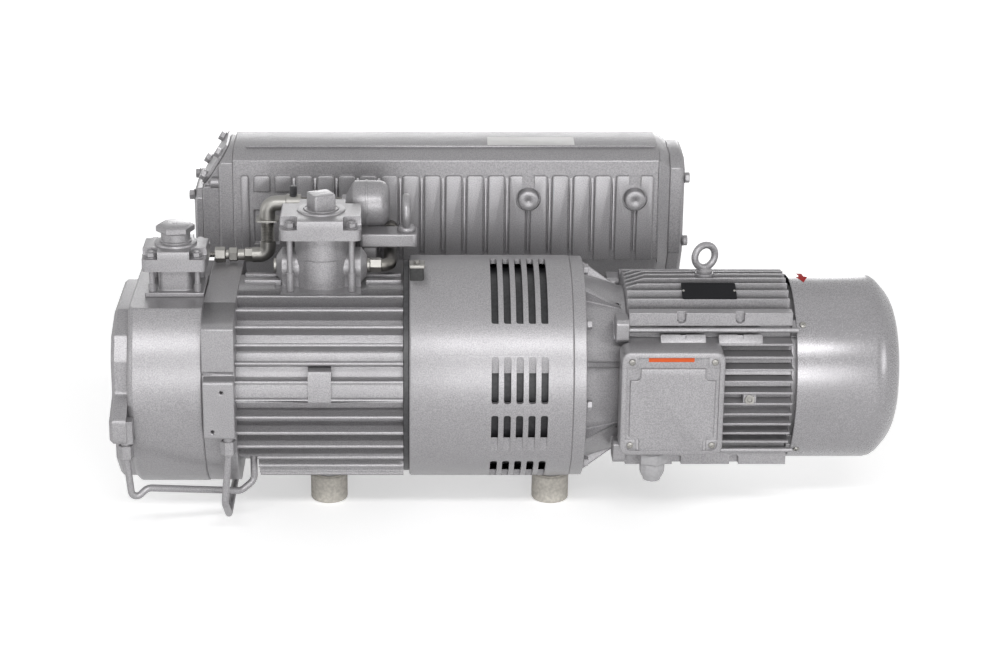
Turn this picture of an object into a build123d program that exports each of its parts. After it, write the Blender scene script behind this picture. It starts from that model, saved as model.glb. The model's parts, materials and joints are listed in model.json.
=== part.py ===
from build123d import *
import os
from math import copysign, cos, degrees, pi, radians, sin, sqrt

# Oil-sealed rotary vane vacuum pump with a direct-coupled flange motor, millimetres.
# Row frame: origin on the floor at the centre of the four feet, +X from the pump to the
# motor, +Y from the shaft to the oil separator, +Z up. Pieces are modelled about the shaft
# axis (y = z = 0 there) and moved into the row frame when they are written.

# feet and shaft
FOOT_PITCH_X = 314.0
FOOT_PITCH_Y = 250.0
SHAFT_HEIGHT = 200.0
FOOT_R = 26.0
FOOT_H = 40.0
FOOT_SIDES = 24
FOOT_BOSS_R = 20.0
FOOT_THREAD_R = 4.25
FOOT_THREAD_DEPTH = 16.0

# fits
RUNNING_GAP = 0.3
SHAFT_CLEARANCE = 0.05
BOLT_CLEARANCE = 0.25
SLOT_CLEARANCE = 0.1

# lengths along the shaft, from the left end cover to the fan cowl
LEFT_FOOT_TO_CYLINDER = 119.0
END_PLATE_T = 23.0
DRUM_L = 101.0
MIDDLE_PLATE_T = 44.0
CYLINDER_L = 225.0
DRIVE_PLATE_T = 8.0
SHROUD_L = 221.0
BELL_FLANGE_T = 18.0
BELL_BODY_L = 58.0
FRAME_L = 221.0
COWL_GAP = 6.0
COWL_L = 148.0

# pump cylinder casting
CYLINDER_ROOT_R = 131.0
FIN_TIP_R = 154.0
FIN_PITCH_DEG = 9.4
FIN_FIRST_DEG = 1.6
FIN_TIP_W = 5.0
FIN_ROOT_W = 8.0
CROWN_Z = 128.0
CROWN_EDGE_Y = 15.0
CROWN_FALL = 0.54
BORE_R = 104.0
ROTOR_R = 86.0
BORE_OFFSET_DEG = -60.0
BAND_R = 148.0
BAND_BOSS_W = 31.0
LOW_FIN_SETBACK = 26.0
LOW_FIN_TOP_Z = -88.0

DUCT_SETBACK = 46.0
DUCT_W = 130.0
DUCT_Z = (-60.0, 45.0)
ARM_SETBACK = 53.0
ARM_W = 40.0

# second stage
STAGE_BORE_R = 72.0
STAGE_ROTOR_R = 60.0
DRUM_R = 161.0
DRUM_TOP_Z = 120.0
DRUM_EDGE_R = 10.0
MIDDLE_PLATE_R = 160.0
MIDDLE_PLATE_TOP_Z = 126.0
LUG_FRONT_Y = -182.0
LUG_BOTTOM_Z = -48.0
STAGE_VANE_H = 30.0

# shafts, bushes and rotors
SHAFT_R = 22.5
BUSH_R = 30.0
BUSH_T = 13.0
VANE_COUNT = 3
VANE_T = 9.0
VANE_H = 46.0
SEAL_T = 10.0
DRIVE_PLATE_R = 147.0
DRIVE_HUB_R = 62.0
DRIVE_HUB_L = 38.0

# coupling and cooling fan
COUPLING_R = 45.0
COUPLING_SETBACK = 81.0
COUPLING_HUB_L = 44.0
SPIDER_T = 16.0
JAW_COUNT = 3
JAW_INNER_R = 25.0
JAW_HALF_DEG = 18.0
FAN_DISC_T = 5.0
FAN_R = 139.0
FAN_BLADE_L = 84.0
FAN_BLADE_T = 4.0
FAN_BLADE_H = 62.0
FAN_BLADES = 9
FAN_BLADE_LEAN = 16.0

# slotted shroud
SHROUD_R = 154.0
SHROUD_WALL = 7.0
SHROUD_LIP_R = 104.0
SLOT_COLUMNS = 5
SLOT_SETBACK = 115.5
SLOT_PITCH = 16.7
SLOT_W = 9.7
SLOT_ROWS = [(-70.0, -42.0), (-33.0, -8.0), (0.0, 24.0), (41.0, 92.0)]

# bell housing
BELL_FLANGE_R = 153.0
BELL_RECESS_R = 107.0
BELL_BODY_RISE = 6.0
BELL_WALL = 9.0
GUSSET_COUNT = 8
GUSSET_T = 8.0
GUSSET_PHASE = 25.0
BELL_BOLT_PHASE = -2.5
BELL_BOLT_PCD = 286.0
BOLT_R = 4.0
BOLT_HEAD_AF = 13.0
BOLT_HEAD_T = 5.5

# motor
FRAME_R = 112.0
FRAME_WALL = 8.0
FRAME_FIN_H = 22.0
FRAME_FIN_PITCH = 15.6
FRAME_FIN_T = 3.4
FRAME_FIN_SIDE = 5
FRAME_BEVEL_L = 32.0
FRAME_BEVEL_H = 9.0
PAD_DROP = 2.0
PAD_H = 18.5
PAD_INSET = 14.0
PAD_T = 18.0
PAD_SLOTS = (71.0, 150.0)
ROD_ANGLE = 40.5
ROD_R = 3.5
SHIELD_T = 12.0
COWL_RISE = 15.5
COWL_WALL = 2.0
COWL_STRAIGHT_L = 107.0
COWL_SLOT_RINGS = [(22.0, 4), (40.0, 6)]
COWL_SLOT_W = 7.0
COWL_BRIDGE = 7.0
STATOR_L = 140.0
STATOR_X_OFFSET = 46.0
STATOR_RADIAL_T = 38.0
WINDING_INSET = 7.0
WINDING_L = 26.0
MOTOR_SHAFT_R = 19.0
MOTOR_BEARING_R = 40.0
MOTOR_BEARING_T = 18.0
MOTOR_FAN_GAP = 22.0
MOTOR_FAN_L = 34.0
MOTOR_FAN_SETBACK = 30.0
EYE_SETBACK = 110.5
EYE_RING_R = 16.0
EYE_WIRE_R = 4.8
EYE_COLLAR_R = 11.0
EYE_TURN = 25.0
EYE_SIDES = 20
EARTH_BOSS_SETBACK = 163.0
EARTH_BOSS_W = 18.0

# terminal box
BOX_OVERLAP = 13.0
BOX_W = 138.5
BOX_H = 147.0
BOX_BOTTOM_Z = -73.0
BOX_D = 42.0
BOX_STANDOFF = 3.0
BOX_CORNER_R = 12.0
BOX_WALL = 4.0
LID_T = 9.0
LID_RECESS = 4.0
SCREW_HEAD_R = 4.6
SCREW_HEAD_T = 2.4
GLAND_FROM_SIDE = 47.0
GLAND_FROM_BACK = 17.0
GLAND_AF = 36.0
GLAND_L = 44.0
GLAND_BORE_R = 9.0
GLAND_THREAD_T = 3.0

# oil separator box
SEP_SETBACK = 23.0
SEP_L = 630.0
SEP_FRONT_Y = 180.0
SEP_REAR_Y = 345.0
SEP_TOP_Z = 262.0
SEP_SHOULDER_Z = 246.3
SEP_RIDGE_Y = 210.0
SEP_RIDGE_Z = 258.5
SEP_CREST_Y = 260.0
SEP_END_INSET = 12.0
LEFT_COVER_INSET = 4.0
SEP_WAIST_Z = 98.0
SEP_SUMP_FRONT_Y = 216.0
SEP_SUMP_REAR_Y = 330.0
SEP_BOTTOM_Z = -150.0
SEP_WALL = 7.0
SEP_END_BEVEL = 17.0
PANEL_COUNT = 17
PANEL_PITCH = 30.66
PANEL_W = 24.2
EDGE_PANEL_W = 12.0
PANEL_SETBACK = 91.0
PANEL_RAISE = 5.0
PANEL_TOP_Z = 224.8
RIB_W = 2.2
RIB_RAISE = 6.5
RIB_BOTTOM_Z = 113.0
BOSS_R = 14.7
BOSS_Z = 190.7
BOSS_PROUD = 17.0
BOSS_PANELS = [10, 15]
BOSS_RELIEF_R = 21.0
BOSS_RELIEF_UP = 7.0
SEP_COVER_T = 21.6
LEFT_COVER_T = 20.6
LEFT_NECK_L = 24.7
EXHAUST_PLATE_T = 12.0
EXHAUST_PLATE_W = 134.0
EXHAUST_PLATE_H = 100.0
HOOD_LEDGE_Z = 203.0
HOOD_SLOPE_Z = 199.0
HOOD_SLOPE_DEG = 57.0
HOOD_LID_L = 66.0
HOOD_LID_W = 114.0
HOOD_LID_T = 5.0
EXHAUST_BORE_R = 28.0
EXHAUST_Y = 262.0
EXHAUST_Z = 148.0
FILTER_R = 30.0
FILTER_L = 430.0
FILTER_Z = 148.0
FILTER_PITCH_Y = 66.0
FILTER_WALL = 7.0
FILTER_CAP_T = 8.0
OIL_FILTER_R = 46.0
OIL_FILTER_L = 98.0
OIL_FILTER_Z = -40.0
SIGHT_SETBACK = 360.0
SIGHT_Z = -60.0
SIGHT_R = 24.0
SIGHT_T = 8.0
DRAIN_Z = -125.0
FILLER_SETBACK = 240.0
FILLER_Z = 150.0
FILLER_R = 22.0
FLOAT_SETBACK = 257.0
FLOAT_Z = -90.0
FLOAT_PIN_OUT = 18.0
FLOAT_PIN_R = 3.0
FLOAT_REACH = 50.0
FLOAT_R = 20.0

# inlet tower
INLET_SETBACK = 113.0
INLET_Y = -10.0
INLET_SEAT_Z = 118.0
INLET_SIZE = 110.0
INLET_BASE_T = 8.0
INLET_BODY_R = 37.0
INLET_CROSS_R = 25.0
INLET_CROSS_L = 124.0
INLET_CROSS_Z = 150.0
INLET_STEP_Z = 166.0
INLET_COVER_Z = 201.0
INLET_COVER_T = 28.0
INLET_STUD_PITCH = 84.0
INLET_STUD_R = 4.0
INLET_POCKET = 24.0
INLET_POCKET_T = 13.0
VALVE_BORE_R = 30.0
INLET_BORE_R = 24.0
VALVE_DISC_R = 27.5
VALVE_DISC_T = 5.0
SCREEN_Z = 148.0
SCREEN_T = 3.0
SCREEN_PITCH = 6.0
SCREEN_SLOT_L = 28.0
SPRING_R = 19.0
SPRING_WIRE_R = 1.4
SPRING_TURNS = 4
SPRING_STEPS = 12
PLUG_SQUARE = 31.0
PLUG_H = 22.0
PLUG_TURN = 25.0
SIDE_BOSS_R = 14.0
SIDE_PLUG_R = 10.0
SIDE_PLUG_T = 4.0
SIDE_LINE_PANEL = 4
SIDE_LINE_R = 9.0
SIDE_NUT_AF = 18.0
SIDE_NUT_L = 16.0

# gas ballast block on the drum
BALLAST_SETBACK = 59.0
BALLAST_Y = -20.0
BALLAST_BASE_T = 6.0
BALLAST_COVER_Z = 157.0
BALLAST_SIZE = 87.0
BALLAST_COVER_T = 28.0
BALLAST_STUD_PITCH = 62.0
BALLAST_POCKET = 22.0
BALLAST_POCKET_T = 11.0
BALLAST_COLLAR_R = 29.0
BALLAST_PLUG_R = 20.0
BALLAST_PLUG_AF = 46.0

# vent line and air filter
VENT_Y = 78.0
VENT_Z = 137.5
VENT_TOP_Z = 213.0
VENT_TUBE_R = 4.0
VENT_PIPE_R = 8.5
VENT_RISER_SETBACK = 34.0
VENT_PORT_SETBACK = 32.0
VENT_NUTS_L = 55.0
TEE_SETBACK = 71.0
DOME_SETBACK = 153.0
DOME_NECK_L = 14.0
DOME_L = 53.0
DOME_R = 32.0

# lifting bracket and eye
BRACKET_Z = 164.0
BRACKET_T = 19.0
BRACKET_L = 80.0
BRACKET_OVERHANG = 19.0
BRACKET_Y = 45.0
BRACKET_W = 40.0
BRACKET_POST_L = 24.0
LIFT_EYE_FROM_END = 15.0
LIFT_RING_R = 19.0
LIFT_WIRE_R = 6.0
LIFT_COLLAR_R = 13.0

# oil tubes
TUBE_R = 4.9
TUBE_BEND_R = 18.0
NUT_AF = 17.0
NUT_L = 20.0
LEFT_TUBE_END_Y = -96.0

# stations worked out from the lengths
X_CYLINDER = -FOOT_PITCH_X / 2 - LEFT_FOOT_TO_CYLINDER
X_MIDDLE = X_CYLINDER - MIDDLE_PLATE_T
X_DRUM = X_MIDDLE - DRUM_L
X_END = X_DRUM - END_PLATE_T
X_DRIVE = X_CYLINDER + CYLINDER_L
X_SHROUD = X_DRIVE + DRIVE_PLATE_T
X_BELL = X_SHROUD + SHROUD_L
X_BELL_BODY = X_BELL + BELL_FLANGE_T
X_FRAME = X_BELL_BODY + BELL_BODY_L
X_SHIELD = X_FRAME + FRAME_L
X_COWL = X_SHIELD + COWL_GAP
X_TIP = X_COWL + COWL_L
FLOOR_Z = -SHAFT_HEIGHT
X_TIP_FACE = X_TIP - COWL_WALL
COUPLING_X0 = X_SHROUD + COUPLING_SETBACK
SLOT_FIRST_X = X_SHROUD + SLOT_SETBACK
MOTOR_FAN_X = X_COWL + MOTOR_FAN_SETBACK
EYE_X = X_FRAME + EYE_SETBACK
BOX_X0 = X_FRAME - BOX_OVERLAP
GLAND_X = BOX_X0 + GLAND_FROM_SIDE
SEP_X0 = X_MIDDLE + SEP_SETBACK
SEP_X1 = SEP_X0 + SEP_L
X_NECK = SEP_X0 - LEFT_COVER_T - LEFT_NECK_L
PANEL_X0 = SEP_X0 + PANEL_SETBACK
SIGHT_X = SEP_X0 + SIGHT_SETBACK
FILLER_X = SEP_X0 + FILLER_SETBACK
FLOAT_X = SEP_X0 + FLOAT_SETBACK
INLET_X = X_CYLINDER + INLET_SETBACK
SIDE_LINE_X = PANEL_X0 + SIDE_LINE_PANEL * PANEL_PITCH + PANEL_W / 2 + 2
BALLAST_X = X_DRUM + BALLAST_SETBACK
VENT_RISER_X = X_CYLINDER + VENT_RISER_SETBACK
VENT_PORT_X = X_MIDDLE - VENT_PORT_SETBACK
VENT_NUT_X = X_MIDDLE + 3
TEE_X = X_CYLINDER + TEE_SETBACK
DOME_X0 = X_CYLINDER + DOME_SETBACK
BRACKET_X1 = X_DRIVE + BRACKET_OVERHANG
BRACKET_X0 = BRACKET_X1 - BRACKET_L
LIFT_EYE_X = BRACKET_X1 - LIFT_EYE_FROM_END
LEFT_NUT_X = X_DRUM - 3
RIGHT_NUT_X = X_CYLINDER - 10
LEFT_TUBE_END_X = X_CYLINDER + 19

# radii and heights worked out from the motor frame's radius
FRAME_FIN_R = FRAME_R + FRAME_FIN_H
BELL_BODY_R = FRAME_R + BELL_BODY_RISE
ROD_PATH_R = FRAME_FIN_R
COWL_R = FRAME_R + COWL_RISE
STATOR_R = FRAME_R - FRAME_WALL
STATOR_BORE_R = STATOR_R - STATOR_RADIAL_T
MOTOR_FAN_R = COWL_R - COWL_WALL - MOTOR_FAN_GAP
PAD_TOP_Z = FRAME_R - PAD_DROP
PAD_BOTTOM_Z = PAD_TOP_Z - PAD_H
PAD_FRONT_Y = PAD_INSET - FRAME_R
BOX_BACK_Y = -FRAME_R - BOX_STANDOFF
BOX_FRONT_Y = BOX_BACK_Y - BOX_D
GLAND_Y = BOX_BACK_Y - GLAND_FROM_BACK

# rotors, floor and feet
BORE_OFFSET = BORE_R - ROTOR_R - RUNNING_GAP
STAGE_OFFSET = STAGE_BORE_R - STAGE_ROTOR_R - RUNNING_GAP
FOOT_TOP_Z = FLOOR_Z + FOOT_H

os.makedirs("parts", exist_ok=True)


def write(name, shape):
    """Move a piece from the shaft's frame to the row frame and write its file."""
    placed = Pos(0, -FOOT_PITCH_Y / 2, SHAFT_HEIGHT) * shape
    export_step(placed, "parts/" + name + ".step")


def group(pieces):
    """Several separate solids that share one file."""
    solids = []
    for piece in pieces:
        solids.extend(piece.solids())
    return Compound(solids)


def across(x):
    """Sketch plane square to the shaft at x: its own x is +Y and its own y is +Z."""
    return Plane(origin=(x, 0, 0), x_dir=(0, 1, 0), z_dir=(1, 0, 0))


def rod(x0, x1, r, y=0.0, z=0.0):
    """Cylinder along the shaft's direction."""
    return extrude(across(x0) * Pos(y, z) * Circle(r), x1 - x0)


def post(z0, z1, r, x, y):
    """Upright cylinder."""
    return Pos(x, y, z0) * Cylinder(r, z1 - z0, align=(Align.CENTER, Align.CENTER, Align.MIN))


def prism(x0, x1, r, sides, y=0.0, z=0.0):
    """Bar along the shaft's direction with many flats, its corners on a circle."""
    return extrude(across(x0) * Pos(y, z) * RegularPolygon(r, sides), x1 - x0)


def prism_ring(x0, x1, r_out, r_in, sides, y=0.0, z=0.0):
    """Tube with many flats that lies between two radii."""
    return prism(x0, x1, r_out, sides, y, z) - prism(x0, x1, r_in / cos(pi / sides), sides, y, z)


def stud(z0, z1, r, x, y):
    """Upright eight-sided bar that clears a circle of radius r on its flats."""
    return Pos(x, y, z0) * extrude(RegularPolygon(r, 8, major_radius=False), z1 - z0)


def block(x0, x1, y0, y1, z0, z1):
    """Box between two corners."""
    box = Box(x1 - x0, y1 - y0, z1 - z0)
    return Pos((x0 + x1) / 2, (y0 + y1) / 2, (z0 + z1) / 2) * box


def plate(x0, x1, points, r=0.0):
    """Plate square to the shaft with a polygon outline of (y, z) points."""
    face = make_face(Polyline(points, close=True))
    if r > 0:
        face = fillet(face.vertices(), r)
    return extrude(across(x0) * face, x1 - x0)


def polar(angle, r):
    """(y, z) at an angle measured from the front, upwards."""
    return (-r * cos(radians(angle)), r * sin(radians(angle)))


def hexagon(z0, z1, across_flats, x, y, turn=0.0):
    """Upright hexagonal bar."""
    face = RegularPolygon(across_flats / 2, 6, major_radius=False, rotation=turn)
    return Pos(x, y, z0) * extrude(face, z1 - z0)


def hexagon_x(x0, x1, across_flats, y, z):
    """Hexagonal bar along the shaft's direction."""
    face = RegularPolygon(across_flats / 2, 6, major_radius=False, rotation=30)
    return extrude(across(x0) * Pos(y, z) * face, x1 - x0)


def turned(points):
    """Solid of revolution about the shaft from (x, r) points."""
    face = make_face(Plane.XZ * Polyline(points, close=True))
    return revolve(face, Axis.X, 360)


def bore_centre(offset):
    """(y, z) of an eccentric bore whose rotor turns on the shaft axis."""
    return polar(BORE_OFFSET_DEG, offset)


def foot_boss(x, y, top_z):
    """Round boss above a rubber foot."""
    return post(FOOT_TOP_Z, top_z, FOOT_BOSS_R, x, y)


def crown_z(y):
    """Height of the casting's crown: flat over the shaft, falling away towards the separator."""
    return CROWN_Z - CROWN_FALL * max(0.0, y - CROWN_EDGE_Y)


def fin_angles():
    """Angles of the radial fins all the way round."""
    count = int(360 / FIN_PITCH_DEG)
    return [FIN_FIRST_DEG + i * 360 / count for i in range(count)]


def fin_section():
    """Round core with tapered radial fins, as one outline."""
    half_tip = FIN_TIP_W / 2
    half_root = FIN_ROOT_W / 2
    inner = CYLINDER_ROOT_R - 3
    fin = make_face(
        Polyline(
            [(inner, -half_root), (FIN_TIP_R, -half_tip), (FIN_TIP_R, half_tip), (inner, half_root)],
            close=True,
        )
    )
    section = Circle(CYLINDER_ROOT_R)
    for angle in fin_angles():
        section += Rot(0, 0, 180 - angle) * fin
    return section


def build_cylinder_casting():
    """Pump cylinder: radial cooling fins, inlet seat, front band and an eccentric bore."""
    x1 = X_DRIVE
    body = extrude(across(X_CYLINDER) * fin_section(), CYLINDER_L)
    # the front channel is filled to a flat band between two fins, with a square boss on it
    band = rod(X_CYLINDER, x1, BAND_R)
    low, high = polar(2, BAND_R)[1], polar(11, BAND_R)[1]
    band &= block(X_CYLINDER, x1, -FIN_TIP_R, -CYLINDER_ROOT_R + 8, low, high)
    boss_half = BAND_BOSS_W / 2
    boss = block(INLET_X - boss_half, INLET_X + boss_half, -FIN_TIP_R, -CYLINDER_ROOT_R, 0.0, 46.0)
    body += band + boss
    # crown flat at the front and falling to the rear, inlet seat lowered into it
    over, back = FIN_TIP_R + 1, FIN_TIP_R
    crown = [(-back, CROWN_Z), (CROWN_EDGE_Y, CROWN_Z), (back, crown_z(back)), (back, over), (-back, over)]
    body -= plate(X_CYLINDER, x1, crown)
    seat = INLET_SIZE / 2
    seat_box = (INLET_X - seat, INLET_X + seat, INLET_Y - seat, INLET_Y + seat)
    body += block(*seat_box, 60.0, INLET_SEAT_Z)
    body -= block(*seat_box, INLET_SEAT_Z, FIN_TIP_R + 1)
    # room for the inlet body's side bosses
    reach = INLET_CROSS_L / 2 + 2
    side = INLET_CROSS_R + 2
    low_z = INLET_CROSS_Z - INLET_CROSS_R - 1
    body -= block(INLET_X - reach, INLET_X + reach, INLET_Y - side, INLET_Y + side, low_z, FIN_TIP_R + 1)
    # relief for the tube under the lower left corner
    low = ring(X_CYLINDER, X_CYLINDER + LOW_FIN_SETBACK, FIN_TIP_R + 1, CYLINDER_ROOT_R)
    body -= low & block(X_CYLINDER, x1, -FIN_TIP_R - 1, FIN_TIP_R + 1, -FIN_TIP_R - 1, LOW_FIN_TOP_Z)
    body += foot_boss(-FOOT_PITCH_X / 2, 0, -CYLINDER_ROOT_R + 4)
    duct_x = X_CYLINDER + DUCT_SETBACK
    body += block(duct_x, duct_x + DUCT_W, CYLINDER_ROOT_R - 20, SEP_SUMP_FRONT_Y, *DUCT_Z)
    y, z = bore_centre(BORE_OFFSET)
    body -= rod(X_CYLINDER, x1, BORE_R, y, z)
    body -= post(40.0, INLET_SEAT_Z, INLET_BORE_R, INLET_X, INLET_Y)
    return body


def ring(x0, x1, r_out, r_in, y=0.0, z=0.0):
    """Tube along the shaft's direction."""
    return rod(x0, x1, r_out, y, z) - rod(x0, x1, r_in, y, z)


def build_stage_drum():
    """Round second-stage housing with a flat top for the gas ballast block."""
    body = rod(X_DRUM, X_MIDDLE, DRUM_R)
    body = chamfer(body.edges().filter_by(GeomType.CIRCLE).group_by(Axis.X)[0], DRUM_EDGE_R * 0.6)
    body -= block(X_DRUM, X_MIDDLE, -DRUM_R, DRUM_R, DRUM_TOP_Z, DRUM_R)
    y, z = bore_centre(STAGE_OFFSET)
    return body - rod(X_DRUM, X_MIDDLE, STAGE_BORE_R, y, z)


def end_plate_outline():
    """Outline of the left cover: flat top, slanted shoulder, stepped tube lug, round bottom."""
    return [
        (118, 84),
        (66, 105),
        (-66, 105),
        (-118, 86),
        (-136, 54),
        (-136, 8),
        (LUG_FRONT_Y, -14),
        (LUG_FRONT_Y, LUG_BOTTOM_Z),
        (-118, LUG_BOTTOM_Z),
        (-118, -96),
        (-70, -138),
        (70, -138),
        (136, -60),
        (136, 60),
    ]


def build_left_end_plate():
    """End cover of the second stage, with a blind seat for the shaft's end bush."""
    body = plate(X_END, X_DRUM, end_plate_outline(), 6.0)
    body = chamfer(body.faces().sort_by(Axis.X)[0].edges(), 5.0)
    body += block(X_DRUM - 4, X_DRUM + 8, LUG_FRONT_Y + 3, -DRUM_R - RUNNING_GAP, LUG_BOTTOM_Z, -16)
    return body - rod(X_DRUM - BUSH_T, X_DRUM, BUSH_R)


def build_middle_side_plate():
    """Side plate between the two stages, with a flat front pad and a drilled tube lug."""
    x0, x1 = X_MIDDLE, X_CYLINDER
    body = rod(x0, x1, MIDDLE_PLATE_R)
    body -= block(x0, x1, -MIDDLE_PLATE_R, MIDDLE_PLATE_R, MIDDLE_PLATE_TOP_Z, MIDDLE_PLATE_R)
    pad_y = -MIDDLE_PLATE_R
    body += plate(x0, x1, [(-98, MIDDLE_PLATE_TOP_Z), (pad_y, 108), (pad_y, 47), (-140, 42), (-60, 42)])
    front, bottom = LUG_FRONT_Y + 4, LUG_BOTTOM_Z + 6
    body += plate(x0 + 2, x1, [(-100, 40), (front, 40), (front, bottom), (-100, bottom)], 4.0)
    for dx, z in ((14.0, -31.0), (27.0, 25.0)):
        hole = Plane(origin=(x0 + dx, front, z), z_dir=(0, -1, 0)) * Circle(2.2)
        body -= extrude(hole, -9)
    body -= block(x0, x1, -MIDDLE_PLATE_R, MIDDLE_PLATE_R, -MIDDLE_PLATE_R, -148)
    return body - rod(x0, x1, BUSH_R)


def build_drive_side_plate():
    """Drive-side plate that closes the cylinder and carries the bush and the shaft seal."""
    body = rod(X_DRIVE, X_SHROUD, DRIVE_PLATE_R) + rod(X_SHROUD, X_SHROUD + DRIVE_HUB_L, DRIVE_HUB_R)
    return body - rod(X_DRIVE, X_SHROUD + DRIVE_HUB_L, BUSH_R)


def slot_cutter(x, low, high):
    """Cutter for one air slot between two angles of the shroud's wall."""
    inner, outer = SHROUD_R - SHROUD_WALL - 2, SHROUD_R + 6
    points = [polar(low, inner), polar(high, inner), polar(high, outer)]
    points += [polar((low + high) / 2, outer + 4), polar(low, outer)]
    return plate(x - SLOT_W / 2, x + SLOT_W / 2, points)


def build_fan_shroud():
    """Round fan housing with four rows of air slots and the right front foot boss."""
    x0, x1 = X_SHROUD, X_BELL
    inner = SHROUD_R - SHROUD_WALL
    body = rod(x0, x1, SHROUD_R)
    body = chamfer(body.edges().filter_by(GeomType.CIRCLE).group_by(Axis.X)[0], 3.0)
    body += foot_boss(FOOT_PITCH_X / 2, 0, -inner)
    arm_x = x0 + ARM_SETBACK
    body += block(arm_x, arm_x + ARM_W, SHROUD_R - 30, SEP_SUMP_FRONT_Y, *DUCT_Z)
    body -= rod(x0 + SHROUD_WALL, x1, inner)
    body -= rod(x0, x0 + SHROUD_WALL, SHROUD_LIP_R)
    cutters = []
    for low, high in SLOT_ROWS:
        for column in range(SLOT_COLUMNS):
            cutters.append(slot_cutter(SLOT_FIRST_X + column * SLOT_PITCH, low, high))
    return body - cutters


def build_bell_housing():
    """Motor adapter: bolted flange, tapered wall, triangular gussets and tie rod lugs."""
    x0, x1, x2 = X_BELL, X_BELL_BODY, X_FRAME
    wall_r = BELL_BODY_R
    outline = [(x0, 0), (x0, BELL_FLANGE_R), (x1, BELL_FLANGE_R), (x1, wall_r + 10)]
    outline += [(x2 - GUSSET_T - 4, FRAME_R + 2), (x2 - GUSSET_T, FRAME_R), (x2, FRAME_R), (x2, 0)]
    body = turned(outline)
    low = FRAME_R - 2
    web_end = x2 - GUSSET_T
    corners = [(x1 - 1, low), (x1 - 1, BELL_FLANGE_R - 5), (web_end, FRAME_R), (web_end, low)]
    gusset = Plane.XZ * Polyline(corners, close=True)
    web = extrude(make_face(gusset), GUSSET_T / 2, both=True)
    for i in range(GUSSET_COUNT):
        body += Rot(i * 360 / GUSSET_COUNT + GUSSET_PHASE, 0, 0) * web
    for y, z in rod_places():
        body += rod_lug(x2 - 18, x2, y, z)
    body -= rod(x0, x1 + 6, BELL_RECESS_R)
    body -= rod(x1 + 6, x2 - MOTOR_BEARING_T, BELL_BODY_R - 2 * BELL_WALL)
    body -= rod(x2 - MOTOR_BEARING_T, x2, MOTOR_BEARING_R)
    for y, z in rod_places():
        body -= rod(x2 - 10, x2, ROD_R + SLOT_CLEARANCE, y, z)
    return body


def rod_lug(x0, x1, y, z):
    """Upright lug around a tie rod, reaching in to the housing's wall."""
    sy = copysign(1, y)
    ys = sorted((y * 0.72, y + sy * 10))
    return chamfer(block(x0, x1, *ys, z - 16, z + 16).edges().filter_by(Axis.X), 5.0)


def bell_bolt_places():
    """(y, z) of the bolts between the gussets."""
    return [polar(i * 360 / GUSSET_COUNT + BELL_BOLT_PHASE, BELL_BOLT_PCD / 2) for i in range(GUSSET_COUNT)]


def rod_places():
    """(y, z) of the four motor tie rods."""
    y, z = polar(ROD_ANGLE, ROD_PATH_R)
    return [(y, z), (-y, z), (y, -z), (-y, -z)]


def build_hex_bolts():
    """Hexagon bolt heads of the bell flange, the separator's right cover and the exhaust plate."""
    bolts = []
    for y, z in bell_bolt_places():
        bolts.append(hexagon_x(X_BELL_BODY, X_BELL_BODY + BOLT_HEAD_T, BOLT_HEAD_AF, y, z))
    x_cover = SEP_X1 + SEP_COVER_T
    for y, z in cover_bolt_places():
        bolts.append(hexagon_x(x_cover, x_cover + BOLT_HEAD_T, BOLT_HEAD_AF, y, z))
    x_plate = X_NECK - EXHAUST_PLATE_T
    for y, z in exhaust_bolt_places():
        bolts.append(hexagon_x(x_plate - BOLT_HEAD_T, x_plate, BOLT_HEAD_AF, y, z))
    head = RegularPolygon(BOLT_HEAD_AF / 2, 6, major_radius=False)
    for u, v in hood_bolt_places():
        bolts.append(extrude(hood_slope().offset(HOOD_LID_T) * Pos(u, v) * head, BOLT_HEAD_T))
    return group(bolts)


def frame_fins():
    """Upright fins above and below the motor and level fins on its two sides."""
    section = Circle(FRAME_R)
    for i in range(-FRAME_FIN_SIDE, FRAME_FIN_SIDE + 1):
        at = i * FRAME_FIN_PITCH
        reach = sqrt(FRAME_FIN_R**2 - at**2)
        section += Pos(at, 0) * Rectangle(FRAME_FIN_T, 2 * reach)
    for i in range(-FRAME_FIN_SIDE, FRAME_FIN_SIDE):
        at = (i + 0.5) * FRAME_FIN_PITCH
        reach = sqrt(FRAME_FIN_R**2 - at**2)
        section += Pos(0, at) * Rectangle(2 * reach, FRAME_FIN_T)
    pad_mid_y = PAD_FRONT_Y + PAD_T / 2
    pad_h = PAD_TOP_Z - PAD_BOTTOM_Z
    for sy in (-1, 1):
        for sz in (-1, 1):
            pad = Rectangle(PAD_T, pad_h)
            section += Pos(-sy * pad_mid_y, sz * (PAD_BOTTOM_Z + pad_h / 2)) * pad
            section += Pos(-sy * pad_mid_y * 0.86, sz * (PAD_BOTTOM_Z - 8)) * Rectangle(PAD_T, pad_h + 10)
    return section


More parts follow.
